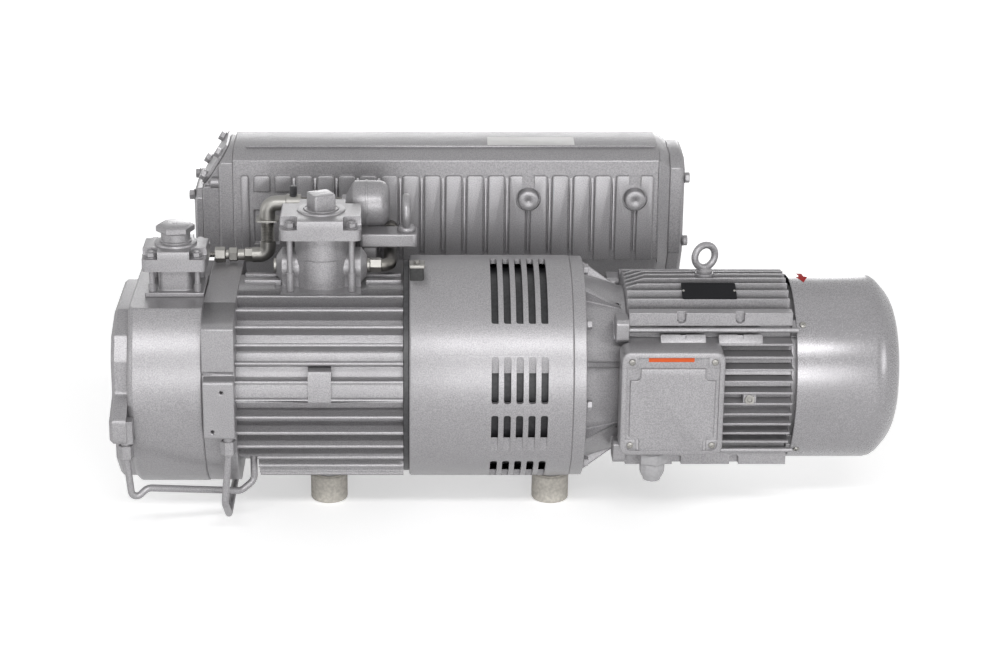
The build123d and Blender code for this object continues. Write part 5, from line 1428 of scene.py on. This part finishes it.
@dataclass
class VentLine:
    """Vent tube, its nuts and threaded riser, the tee and the domed air filter."""

    y: float = 78.0
    z: float = 137.5
    top: float = 213.0
    riser: float = -242.0
    nut_x: float = -317.0
    dome_x: float = -123.0
    tee_x: float = -205.0
    tubes: tuple[Run, ...] = (
        Run(((-352.0, 23.5, 137.5), (-352.0, 78.0, 137.5), (-317.0, 78.0, 137.5)), 4.0, 18.0),
        Run(
            ((-262.0, 78.0, 137.5), (-242.0, 78.0, 137.5), (-242.0, 78.0, 213.0), (-137.0, 78.0, 213.0)),
            8.5,
            13.0,
        ),
        Run(((-81.0, -10.0, 150.0), (-69.3, -10.0, 150.0), (-69.3, 175.0, 150.0)), 9.0, 11.0),
    )
    # radius of the ring, radius of its wire and its middle
    bead: tuple[float, float, Vec3] = (8.6, 1.6, (-69.3, 155.0, 150.0))
    elbows: tuple[Run, ...] = (
        Run(((-264.0, 78.0, 137.5), (-242.0, 78.0, 137.5), (-242.0, 78.0, 158.0)), 11.0, 12.0),
        Run(((-242.0, 78.0, 186.0), (-242.0, 78.0, 213.0), (-216.0, 78.0, 213.0)), 11.0, 13.0),
    )
    thread_z: float = 152.0
    thread_pitch: float = 1.1
    thread_r: Pair = (8.0, 9.5)
    thread_points: int = 28
    nuts: tuple[Bar, ...] = ((0.0, 15.0, 19.0), (20.0, 32.0, 18.0), (42.0, 55.0, 18.0))
    nut_turn: float = 12.0
    necks: tuple[Bar, ...] = ((15.0, 20.0, 7.0), (32.0, 42.0, 8.0))
    side_nut: tuple[Bar, Vec3] = ((-97.0, -81.0, 18.0), (0.0, -10.0, 150.0))
    # two corners of the flat clip round the riser
    clip: tuple[Vec3, Vec3] = ((-258.0, 62.0, 189.0), (-226.0, 92.0, 191.0))
    tee: Bar = (-11.0, 11.0, 12.5)
    stub: tuple[Bar, Bar] = ((221.0, 225.0, 7.0), (224.0, 238.0, 5.0))
    dome: Pairs = (
        (-14.0, 0.0), (-14.0, 11.5), (-8.0, 12.5), (0.0, 26.5), (2.0, 30.0), (5.0, 32.0),
        (19.0, 32.0), (19.4, 33.0), (22.0, 33.0), (22.4, 32.0), (40.0, 31.7), (45.0, 30.0),
        (49.0, 26.5), (51.6, 22.0), (53.0, 15.0), (53.0, 0.0),
    )

    def build(self) -> None:
        """Build the vent line."""
        pipes = Shape()
        for run in self.tubes:
            run.lay(pipes)
        pipes.torus(*self.bead, BACK)
        pipes.piece("vent_lines", Slot.DARK, ["vent_pipe"], sharp=40.0)
        self._joints()
        stub = Shape()
        (low, high, r), (tip_low, tip_high, tip_r) = self.stub
        stub.rod(low, high, r, (self.tee_x, self.y, 0))
        stub.rod(tip_low, tip_high, tip_r, (self.tee_x, self.y, 0), rim=1.2)
        stub.piece("vent_stub", Slot.PLASTIC, sharp=34.0)
        dome = Shape()
        dome.turned([(self.dome_x + a, r) for a, r in self.dome], (0, self.y, self.top), RIGHT, 64)
        dome.piece("filter_dome", Slot.PAINT, ["air_filter"], sharp=40.0)

    def _joints(self) -> None:
        """Elbows, threaded riser, nuts, clip and tee."""
        joints = Shape()
        for run in self.elbows:
            run.lay(joints)
        rise = [self.thread_z + i * self.thread_pitch for i in range(self.thread_points)]
        teeth = [(z, self.thread_r[i % 2]) for i, z in enumerate(rise)]
        joints.turned([(rise[0], 0)] + teeth + [(rise[-1], 0)], (self.riser, self.y, 0), UP, 28)
        line = (self.nut_x, self.y, self.z)
        for start, end, flats in self.nuts:
            joints.hexagon(start, end, flats, line, RIGHT, self.nut_turn + start)
        for neck in self.necks:
            joints.rod(*neck, line, RIGHT)
        nut, place = self.side_nut
        joints.hexagon(*nut, place, RIGHT)
        joints.slab(*self.clip, UP, 3.0, 0.3)
        joints.rod(*self.tee, (self.tee_x, self.y, self.top), RIGHT, 1.5)
        joints.piece("vent_joints", Slot.BRIGHT, ["vent_fittings"], sharp=34.0)


@dataclass(frozen=True)
class EyeBolt:
    """Eye bolt: a ring of round wire on a coned collar.

    It is turned by degrees from facing the front. The collar rises by cone times its radius, and the
    ring's wire starts at sink times its radius over it.
    """

    seat: Vec3
    ring_r: float
    wire_r: float
    collar_r: float
    turn: float
    cone: float = 0.55
    sink: float = 0.3
    shank: float = 14.0

    def make(self, name: str, node: str) -> None:
        """Build it.

        Args:
            name: the piece's name.
            node: the node that it stands for.
        """
        shape = Shape()
        x, y, z = self.seat
        wire, collar, rise = self.wire_r, self.collar_r, self.collar_r * self.cone
        centre = (x, y, z + rise + wire * self.sink + self.ring_r)
        shape.torus(self.ring_r, wire, centre, (sin(radians(self.turn)), -cos(radians(self.turn)), 0.0))
        profile = [(-self.shank, 0), (-self.shank, wire), (0, wire), (0, collar - 0.6), (0.8, collar)]
        profile += [(rise * 0.6, collar), (rise, collar - 2.2), (rise + 2, wire + 0.8)]
        profile += [(rise + 4, wire * 0.7), (rise + 4, 0)]
        shape.turned(profile, self.seat, UP, 36)
        shape.piece(name, Slot.PAINT, [node], sharp=40.0)


@dataclass
class Lifting:
    """Lifting bracket with its eye, and the buffer beside it."""

    eye: EyeBolt = EyeBolt((-47.0, 45.0, 183.0), 19.0, 6.0, 13.0, 90.0)
    buffer: tuple[Vec3, Vec3] = ((-42.0, -58.0, 140.0), (-23.0, -36.0, 161.0))
    tab: tuple[Vec3, Vec3] = ((-43.0, -59.0, 160.8), (-21.5, -35.0, 164.8))
    tab_nut: Bar = (3.6, 7.5, 8.0)
    tab_place: Vec3 = (-32.5, -47.0, 161.0)

    def build(self) -> None:
        """Build them."""
        Recast("lifting_bracket", 2.2, 3).make()
        self.eye.make("lifting_ring", "lifting_eye")
        block = Shape()
        block.slab(*self.buffer, UP, 3.0, 1.5)
        block.piece("rubber_buffer", Slot.RUBBER, sharp=34.0)
        tab = Shape()
        tab.slab(*self.tab, UP, 2.0, 1.0)
        tab.hexagon(*self.tab_nut, self.tab_place, UP, 15.0)
        tab.piece("buffer_tab", Slot.BRIGHT, sharp=34.0)


@dataclass
class OilTubes:
    """Two thin oil tubes with their union nuts."""

    tubes: tuple[Run, ...] = (
        Run(
            (
                (-424.0, -165.0, -73.0), (-418.0, -165.0, -138.0), (-398.0, -158.0, -120.0),
                (-275.0, -106.0, -146.0), (-257.0, -96.0, -134.0), (-257.0, -96.0, -86.0),
            ),
            4.9,
            (8.0, 14.0, 14.0, 14.0),
        ),
        Run(
            (
                (-286.0, -165.0, -67.0), (-293.0, -164.0, -140.0), (-291.0, -125.0, -173.0),
                (-290.0, 136.0, -173.0), (-290.0, 176.0, -132.0), (-290.0, 216.0, -132.0),
            ),
            4.9,
            18.0,
        ),
    )
    tops: tuple[Vec3, ...] = ((-424.0, -165.0, -48.0), (-286.0, -165.0, -42.0))
    nut: Bar = (-25.0, -6.0, 19.0)
    nipple: Bar = (-6.5, 0.0, 7.0)
    ferrule: Bar = (-29.0, -24.5, 6.3)

    def build(self) -> None:
        """Build the tubes and the nuts."""
        tubes = Shape()
        for run in self.tubes:
            run.lay(tubes)
        tubes.piece("oil_lines", Slot.PAINT, ["oil_tubes"], sharp=40.0)
        nuts = Shape()
        for top in self.tops:
            nuts.hexagon(*self.nut, top, UP, 10.0)
            nuts.rod(*self.nipple, top)
            nuts.rod(*self.ferrule, top, rim=1.0)
        nuts.piece("union_nuts", Slot.PAINT, ["tube_nuts"], sharp=34.0)


@dataclass
class Motor:
    """Finned flange motor with its bell housing, cowl, pads, name plate, arrow and eye bolt."""

    # where the cowl, its dome and its end face begin
    cowl_x: Triple = (481.0, 588.0, 629.0)
    cowl_r: float = 127.5
    cowl_wall: float = 2.0
    # (share of the dome's depth, share of the cowl's radius) points
    dome: Pairs = (
        (0.2, 0.985), (0.38, 0.947), (0.54, 0.89), (0.68, 0.838), (0.8, 0.78), (0.89, 0.72),
        (0.95, 0.66), (0.985, 0.58), (1.0, 0.47),
    )
    # radius of a ring of slots and their number
    slot_rings: tuple[tuple[float, int], ...] = ((22.0, 4), (40.0, 6))
    slot_web: float = 7.0
    slot_half: float = 3.5
    # how far a cutter reaches in and out of the end face
    slot_depth: Pair = (6.0, 4.0)
    # distance of each rod from the shaft, across and upwards
    rods: Pair = (101.9, 87.0)
    rod_x: Pair = (244.0, 483.0)
    rod_r: float = 3.5
    eye: EyeBolt = EyeBolt((364.5, 0.0, 136.0), 16.0, 4.8, 11.0, 25.0)
    plate_x: Pair = (329.0, 403.0)
    # (y, z) of the name plate's upper and lower edge
    plate_chord: tuple[Pair, Pair] = ((-34.0, 131.4), (-65.0, 118.8))
    plate_t: float = 1.2
    # in from the sides, in from the ends and height of the field's floor
    plate_field: Triple = (4.0, 3.0, 1.0)
    rivet: Pairs = ((1.0, 0.0), (1.0, 1.9), (1.7, 1.6), (2.1, 0.8), (2.2, 0.0))
    rivet_in: float = 2.2
    # degrees, inner radius, outer radius and half width
    pad: Four = (35.0, 124.0, 135.0, 6.6)
    pad_x: Pairs = ((296.0, 357.5), (374.5, 434.0))
    # half length, start below the pad's middle and depth
    notch: Triple = (4.0, 1.0, 4.5)
    arrow_x: float = 500.0
    # start and sweep in degrees
    arrow_angles: Pair = (83.0, 26.0)
    arrow_head: float = 0.42
    # half widths of the head and of the shaft
    arrow_halves: Pair = (9.0, 3.2)
    earth: Vec3 = (417.0, -132.0, -2.0)
    earth_washer: Pairs = ((0.0, 3.2), (0.0, 7.0), (1.4, 7.0), (2.0, 6.2), (2.0, 3.6), (1.6, 3.2))
    shields: Widths = (("bell_housing", 1.5), ("motor_end_shield", 0.8))

    def build(self) -> None:
        """Build the motor."""
        recast_all(self.shields)
        Recast("motor_frame", 0.7, 2).make()
        self._cowl()
        self._rods()
        self._plate()
        self._arrow()
        self._pads()
        self.eye.make("motor_ring", "motor_eye_bolt")
        earth = Shape()
        earth.turned(self.earth_washer, self.earth, FRONT, 32, closed=True)
        earth.rod(-3.0, 0.6, 3.3, self.earth, FRONT)
        earth.piece("earth_screw", Slot.BRIGHT, sharp=34.0)

    def _cowl(self) -> None:
        """Domed fan cowl with its air slots."""
        x0, x1, x2 = self.cowl_x
        r, wall = self.cowl_r, self.cowl_wall
        outer = [(x0, r - 0.6), (x0 + 0.6, r), (x1, r)]
        outer += [(x1 + (x2 - x1) * u, r * v) for u, v in self.dome]
        inner = [(x0, r - wall), (x1, r - wall)]
        inner += [(x1 + (x2 - wall - x1) * u, (r - wall) * v) for u, v in self.dome]
        cowl = Shape()
        cowl.turned(outer + [(x2, 0), (x2 - wall, 0)] + inner[::-1], steps=96, closed=True)
        tools = Shape()
        for ring_r, count in self.slot_rings:
            half = 180 / count - degrees(self.slot_web / ring_r) / 2
            for i in range(count):
                self._sector(tools, ring_r, i * 360 / count - half, 2 * half, x2)
        cowl.cut(tools)
        cowl.piece("domed_cowl", Slot.COWL, ["fan_cowl"], sharp=32.0)

    def _sector(self, tools: Shape, r: float, start: float, sweep: float, x: float) -> None:
        """Add the cutter of one curved slot.

        Args:
            tools: the shape that takes it.
            r: radius of the slot's middle.
            start: degrees at which it begins.
            sweep: degrees that it covers.
            x: where the cowl's end face lies.
        """
        bm = tools.bm
        old = set(bm.verts)
        half, (inside, outside) = self.slot_half, self.slot_depth
        corners = [(x - inside, r - half), (x + outside, r - half)]
        corners += [(x + outside, r + half), (x - inside, r + half)]
        y, z = polar(start, 1.0)
        section = bm.faces.new([bm.verts.new((a, b * y, b * z)) for a, b in corners])
        geom = [section, *section.edges, *section.verts]
        turn = {"cent": (0, 0, 0), "axis": LEFT, "dvec": (0, 0, 0), "angle": -radians(sweep), "steps": 10}
        bmesh.ops.spin(bm, geom=geom, **turn)
        tools.face_outwards([v for v in bm.verts if v not in old])

    def _rods(self) -> None:
        """Tie rods between the frame's two ends."""
        shape = Shape()
        x0, x1 = self.rod_x
        y, z = self.rods
        for sy in (-1, 1):
            for sz in (-1, 1):
                shape.rod(0, x1 - x0, self.rod_r, (x0, sy * y, sz * z), RIGHT)
        shape.piece("tie_rods", Slot.PAINT, ["motor_tie_rods"], sharp=34.0)

    def _plate(self) -> None:
        """Blank black name plate that lies across the fin tips, with its rivets."""
        (ya, za), (yb, zb) = self.plate_chord
        length = sqrt((ya - yb) ** 2 + (za - zb) ** 2)
        tilt = atan2(za - zb, ya - yb)
        x0, x1 = self.plate_x
        wide, high = (x1 - x0) / 2, length / 2
        plate = Shape()
        plate.slab((-wide, -high, 0), (wide, high, self.plate_t), UP, 2.0, 0.3)
        side, end, floor = self.plate_field
        hollow = Shape()
        hollow.slab((-wide + side, -high + end, floor), (wide - side, high - end, floor + 2), UP, 1.0, 0.0)
        plate.cut(hollow)
        rivets = Shape()
        for way in (-1, 1):
            rivets.turned(self.rivet, (way * (wide - self.rivet_in), 0, 0), UP, 20)
        middle = Matrix.Translation(((x0 + x1) / 2, (ya + yb) / 2, (za + zb) / 2))
        matrix = middle @ Matrix.Rotation(tilt, 4, "X")
        for shape in (plate, rivets):
            bmesh.ops.transform(shape.bm, matrix=matrix, verts=shape.bm.verts)
        plate.piece("blank_name_plate", Extra.PLATE)
        rivets.piece("name_plate_rivets", Slot.BRIGHT, sharp=60.0)

    def _pads(self) -> None:
        """Notched casting pads under the upper tie rod."""
        angle, low, high, half = self.pad
        pads = Shape()
        for x0, x1 in self.pad_x:
            pads.slab((x0, -half, low), (x1, half, high), UP, 2.0, 1.0)
        tools = Shape()
        reach, start, depth = self.notch
        for x0, x1 in self.pad_x:
            middle = (x0 + x1) / 2
            low = (middle - reach, -start, high - depth)
            tools.slab(low, (middle + reach, half + 4, high + 4), UP, 3.0, 0.0)
        pads.cut(tools)
        turn = Matrix.Rotation(radians(90 - angle), 4, "X")
        bmesh.ops.transform(pads.bm, matrix=turn, verts=pads.bm.verts)
        pads.piece("motor_pads", Slot.PAINT, sharp=34.0)

    def _arrow(self) -> None:
        """Small arrow on the cowl that shows which way the shaft turns."""
        shape = Shape()
        made = bmesh.ops.create_grid(shape.bm, x_segments=14, y_segments=2, size=1.0)["verts"]
        start, sweep = self.arrow_angles
        head, shaft = self.arrow_halves
        r = self.cowl_r + 0.25
        for vert in made:
            along, side = (vert.co.x + 1) / 2, vert.co.y
            width = shaft if along > self.arrow_head else head * along / self.arrow_head
            vert.co = (self.arrow_x + side * width, *polar(start + sweep * along, r))
        bmesh.ops.remove_doubles(shape.bm, verts=shape.bm.verts, dist=0.001)
        bmesh.ops.recalc_face_normals(shape.bm, faces=shape.bm.faces)
        bmesh.ops.solidify(shape.bm, geom=list(shape.bm.faces), thickness=0.3)
        shape.piece("turn_arrow", Extra.ARROW)


@dataclass
class TerminalBox:
    """Terminal box with its lid, blank sticker and cable gland."""

    x: Pair = (241.0, 379.5)
    z: Pair = (-73.0, 74.0)
    lid: Pair = (-157.0, -148.0)
    corner: float = 12.0
    floor: float = 3.4
    wall: float = 7.0
    margin: float = 14.0
    # in from the sides, up from the lower edge and down from the upper edge
    field_in: Triple = (12.0, 6.0, 23.0)
    notch_half: float = 12.0
    notch_out: float = 20.0
    upper_notch: float = 26.0
    lug: float = 8.5
    # left, right, lower and upper edge
    sticker: Four = (277.0, 338.0, 60.0, 66.4)
    gland: Pair = (288.0, -132.0)
    gland_seat: Pairs = (
        (-4.0, 9.0), (-4.0, 12.0), (0.0, 12.0), (0.0, 17.5), (2.5, 17.5), (2.5, 9.0),
    )
    gland_flats: float = 36.0
    # (distance from the seat, distance from the hexagon's corner radius) points
    gland_rim: Pairs = ((2.5, -2.0), (4.5, 0.0), (17.0, 0.0), (20.0, -2.5))
    gland_r: float = 9.0
    gland_cap: Pairs = (
        (20.0, 9.0), (20.0, 16.5), (22.0, 17.2), (32.0, 16.8), (37.0, 15.0), (41.0, 12.6),
        (44.0, 11.6), (44.0, 9.0),
    )

    def build(self) -> None:
        """Build the box."""
        Recast("terminal_box", 1.2, 2).make()
        self._field()
        self._lid()
        self._gland()

    def screw_places(self) -> list[Pair]:
        """(x, z) of the lid screws."""
        m = self.margin
        return [(x, z) for x in (self.x[0] + m, self.x[1] - m) for z in (self.z[0] + m, self.z[1] - m)]

    def _field(self) -> None:
        """Raised field of the lid, lowered where the screws sit."""
        (x0, x1), (z0, z1), y0 = self.x, self.z, self.lid[0]
        side, foot, head = self.field_in
        raised = Shape()
        high = (x1 - side, y0 + self.floor + 2, z1 - head)
        raised.slab((x0 + side, y0 + 0.2, z0 + foot), high, FRONT, 5.0, 1.4)
        notches = Shape()
        half, out = self.notch_half, self.notch_out
        for x, z in self.screw_places():
            sx = -1 if x < (x0 + x1) / 2 else 1
            zs = (z - self.upper_notch, z + out) if z > 0 else (z - out, z + half)
            xs = sorted((x - sx * half, x + sx * out))
            notches.slab((xs[0], y0 - 5, zs[0]), (xs[1], y0 + 20, zs[1]), FRONT, 6.0, 0.0)
        raised.cut(notches)
        raised.piece("lid_field", Slot.PAINT, edge=0.9, sharp=40.0)

    def _lid(self) -> None:
        """Lid with a raised rim, lugs for its screws and a blank sticker."""
        (x0, x1), (z0, z1), (y0, y1) = self.x, self.z, self.lid
        lugs = Shape()
        size, floor = self.lug, y0 + self.floor
        for x, z in self.screw_places():
            lugs.slab((x - size, y0 + 2.0, z - size), (x + size, floor + 1, z + size), FRONT, 3.0, 0.8)
        lugs.piece("lid_screw_lugs", Slot.PAINT, sharp=34.0)
        lid = Shape()
        lid.slab((x0, y0, z0), (x1, y1, z1), FRONT, self.corner, 2.6)
        hollow, wall = Shape(), self.wall
        hollow.slab((x0 + wall, y0 - 5, z0 + wall), (x1 - wall, floor, z1 - wall), BACK, 8.0, 0.8)
        lid.cut(hollow)
        lid.piece("box_lid", Slot.PAINT, ["terminal_box_lid"], sharp=34.0)
        sticker = Shape()
        sx0, sx1, sz0, sz1 = self.sticker
        sticker.slab((sx0, floor - 0.35, sz0), (sx1, floor + 0.2, sz1), FRONT, 0.8, 0.1)
        sticker.piece("blank_sticker", Extra.STICKER)

    def _gland(self) -> None:
        """Cable gland with a hexagon body and a ribbed cap."""
        x, y = self.gland
        gland = Shape()
        centre = (x, y, self.z[0])
        bore, r = self.gland_r, self.gland_flats / sqrt(3)
        rim = [(a, r + b) for a, b in self.gland_rim]
        nut = [(rim[0][0], bore)] + rim + [(rim[-1][0], bore)]
        gland.turned(self.gland_seat, centre, DOWN, 36, closed=True)
        gland.turned(nut, centre, DOWN, 6, 20.0, closed=True)
        gland.turned(self.gland_cap, centre, DOWN, 12, 5.0, closed=True)
        gland.piece("gland_body", Slot.GREY, ["cable_gland"], sharp=28.0)


@dataclass
class Fasteners:
    """Hexagon bolts and cross-head screws."""

    flats: float = 13.0
    head: float = 7.5
    flange_x: float = 196.0
    flange_r: float = 143.0
    flange_phase: float = -2.5
    cover_x: float = 354.6
    cover: Pairs = (
        (202.0, 120.0), (202.0, 215.0), (323.0, 120.0), (323.0, 195.0), (238.0, -128.0),
        (308.0, -128.0),
    )
    plate_x: float = -354.3
    plate: Pairs = ((205.0, 107.0), (205.0, 189.0), (319.0, 107.0), (319.0, 189.0))
    hood: Vec3 = (-342.3, 262.0, 199.0)
    hood_slope: float = 57.0
    hood_t: float = 5.0
    # (distance up the slope, distance across) from the hood's foot
    hood_bolts: Pairs = ((14.0, -47.0), (14.0, 47.0), (54.0, -47.0), (54.0, 47.0))
    # radius by the bolt's flats, and thickness
    washer: Pair = (0.62, 1.0)
    screw_r: float = 4.6
    # (height, radius by the screw's radius) points
    screw_profile: Pairs = (
        (-0.5, 0.0), (-0.5, 1.0), (0.8, 1.0), (1.6, 0.9), (2.2, 0.65), (2.4, 0.3), (2.4, 0.0),
    )
    # reach by the screw's radius, half width, lower and upper end
    cross: Four = (0.62, 0.55, 1.0, 4.0)

    def build(self, box: TerminalBox, motor: Motor) -> None:
        """Build all of them.

        Args:
            box: the terminal box, for its screws.
            motor: the motor, for the cowl's screws.
        """
        bolts = Shape()
        for i in range(8):
            y, z = polar(i * 45 + self.flange_phase, self.flange_r)
            self._bolt(bolts, (self.flange_x, y, z), RIGHT, 12.0 * i)
        for y, z in self.cover:
            self._bolt(bolts, (self.cover_x, y, z), RIGHT, 20.0)
        for y, z in self.plate:
            self._bolt(bolts, (self.plate_x, y, z), LEFT, 10.0)
        a = radians(self.hood_slope)
        up, out = Vector((cos(a), 0, sin(a))), Vector((-sin(a), 0, cos(a)))
        for u, v in self.hood_bolts:
            place = Vector(self.hood) + up * u + Vector((0, v, 0)) + out * self.hood_t
            self._bolt(bolts, tuple(place), tuple(out), 0.0)
        bolts.piece("hexagon_bolts", Slot.PAINT, ["hex_bolts"], sharp=34.0)
        screws = Shape()
        for x, z in box.screw_places():
            self._screw(screws, (x, box.lid[0] + 2.0, z), FRONT)
        for angle in (45, 135, 225, 315):
            r = motor.cowl_r
            y, z = polar(angle, r)
            self._screw(screws, (motor.cowl_x[0] + 9.0, y, z), (0.0, y / r, z / r))
        screws.piece("cross_head_screws", Slot.BRIGHT, ["cross_screws"], sharp=34.0)

    def _bolt(self, shape: Shape, place: Vec3, axis: Vec3, turn: float) -> None:
        """Add a bolt head on its washer.

        Args:
            shape: the shape that takes it.
            place: middle of its seat.
            axis: the direction that it stands in.
            turn: degrees about the axis.
        """
        share, thickness = self.washer
        shape.rod(0, thickness, self.flats * share, place, axis, 0.3)
        shape.hexagon(thickness, self.head, self.flats, place, axis, turn)

    def _screw(self, shape: Shape, place: Vec3, axis: Vec3) -> None:
        """Add a pan head with a cross recess.

        Args:
            shape: the shape that takes it.
            place: middle of its seat.
            axis: the direction that it stands in.
        """
        r = self.screw_r
        head = Shape()
        head.turned([(a, r * b) for a, b in self.screw_profile], (0, 0, 0), UP, 24)
        reach, half, low, high = self.cross
        slots = Shape()
        slots.box((-r * reach, -half, low), (r * reach, half, high))
        slots.box((-half, -r * reach, low), (half, r * reach, high))
        head.cut(slots)
        head.placed(list(head.bm.verts), place, axis, 30.0)
        shape.absorb(head)


@dataclass
class Feet:
    """Four round rubber feet."""

    places: Pairs = ((-157.0, 0.0), (-157.0, 250.0), (157.0, 0.0), (157.0, 250.0))
    floor: float = -200.0
    outline: Pairs = (
        (8.0, 0.0), (8.0, 4.2), (0.0, 4.2), (0.0, 23.0), (0.6, 24.8), (2.2, 25.8), (4.0, 26.0),
        (35.0, 26.0), (37.0, 25.6), (38.4, 24.4), (38.8, 23.0), (40.0, 22.8), (40.0, 0.0),
    )

    def build(self) -> None:
        """Build the feet."""
        feet = Shape()
        for x, y in self.places:
            feet.turned(self.outline, (x, y, self.floor), UP, 56)
        feet.piece("round_feet", Slot.FOOT, ["rubber_feet"], sharp=40.0)


@dataclass
class InnerParts:
    """Nodes whose solids are right as they are and only need smooth faces and broken edges."""

    edge: float = 0.4

    def build(self) -> None:
        """Recast every node that nothing else stands for."""
        for node in frame["nodes"]:
            if not frame["nodes"][node].hide_render:
                Recast(node, self.edge, 1).make()


@dataclass(frozen=True)
class Lamp:
    """A soft rectangular lamp that faces the object; its power is in watts."""

    name: str
    place: Vec3
    size: Pair
    watts: float

    def light(self, target: Vec3) -> None:
        """Set the lamp up.

        Args:
            target: the point that it faces.
        """
        data = bpy.data.lights.new(self.name, "AREA")
        data.shape = "RECTANGLE"
        data.size, data.size_y = self.size
        data.energy = self.watts
        lamp = in_scene(self.name, data)
        lamp.location = self.place
        aim = Vector(target) - Vector(self.place)
        lamp.rotation_euler = aim.to_track_quat("-Z", "Y").to_euler()


@dataclass
class Studio:
    """Floor, lamps, world and camera."""

    camera_place: Vec3 = (-0.035, -3.414, 1.397)
    camera_tilt: float = 70.0
    lens: float = 90.0
    shift: Pair = (0.085, 0.038)
    floor_size: float = 16.0
    floor_colour: Colour = (0.90, 0.90, 0.90)
    floor_glow: float = 0.48
    # as a light, and as what the camera and mirrors see
    world_strengths: Pair = (0.15, 1.0)
    target: Vec3 = (0.05, -0.15, 0.18)
    lamps: tuple[Lamp, ...] = (
        Lamp("key", (0.0, -3.1, 2.75), (3.2, 0.4), 72.0),
        Lamp("fill", (0.3, -4.2, 0.8), (3.0, 1.2), 64.0),
        Lamp("top", (0.2, 0.3, 3.2), (2.6, 2.6), 3.0),
        Lamp("left", (-3.4, -1.2, 0.8), (1.6, 1.2), 16.0),
        Lamp("right", (3.6, -1.4, 0.9), (1.6, 1.2), 18.0),
        Lamp("rear", (0.3, 3.8, 0.9), (2.4, 1.4), 45.0),
    )

    def build(self) -> None:
        """Set everything up."""
        self._camera()
        self._world()
        self._floor()
        for lamp in self.lamps:
            lamp.light(self.target)
        bpy.context.scene.view_settings.view_transform = "Standard"

    def _camera(self) -> None:
        """Place the camera where the photograph was taken from."""
        data = bpy.data.cameras.new("camera")
        data.lens = self.lens
        data.sensor_width = 36.0
        data.shift_x, data.shift_y = self.shift
        data.clip_end = 60.0
        camera = in_scene("camera", data)
        camera.location = self.camera_place
        camera.rotation_euler = (radians(self.camera_tilt), 0.0, 0.0)
        bpy.context.scene.camera = camera

    def _world(self) -> None:
        """White to the camera and in reflections, dimmer as a light."""
        world = bpy.data.worlds.new("studio")
        bpy.context.scene.world = world
        world.use_nodes = True
        g = Graph(world.node_tree)
        seen = g.ray("Is Camera Ray") + g.ray("Is Glossy Ray") + g.ray("Is Transmission Ray")
        back = g.tree.nodes["Background"]
        g.plug(back.inputs["Color"], (1.0, 1.0, 1.0))
        g.plug(back.inputs["Strength"], seen.between(*self.world_strengths))

    def _floor(self) -> None:
        """Pale floor that keeps the object's shadow."""
        bm = bmesh.new()
        bmesh.ops.create_grid(bm, x_segments=1, y_segments=1, size=self.floor_size / 2)
        mesh = bpy.data.meshes.new("floor")
        bm.to_mesh(mesh)
        bm.free()
        floor = in_scene("floor", mesh)
        g = Paint("FloorPale")
        seen = g.ray("Is Camera Ray") + g.ray("Is Glossy Ray")
        glow = g.blend(seen * self.floor_glow, (0.0, 0.0, 0.0), (1.0, 1.0, 1.0))
        coat = g.finish(
            Base_Color=self.floor_colour, Roughness=0.6, Emission_Color=glow, Emission_Strength=1.0
        )
        mesh.materials.append(coat)


def main() -> None:
    """Build the studio and the pump."""
    logging.basicConfig(level=logging.INFO)
    Studio().build()
    for node, solid in frame["nodes"].items():
        SHOP.coat(solid, node_slot(node))
    for part in (PumpBlock(), FanShroud(), SeparatorBox(), InletTower(), BallastBlock()):
        part.build()
    for part in (VentLine(), Lifting(), OilTubes()):
        part.build()
    box, motor = TerminalBox(), Motor()
    motor.build()
    box.build()
    Fasteners().build(box, motor)
    Feet().build()
    InnerParts().build()


if __name__ == "__main__":
    main()
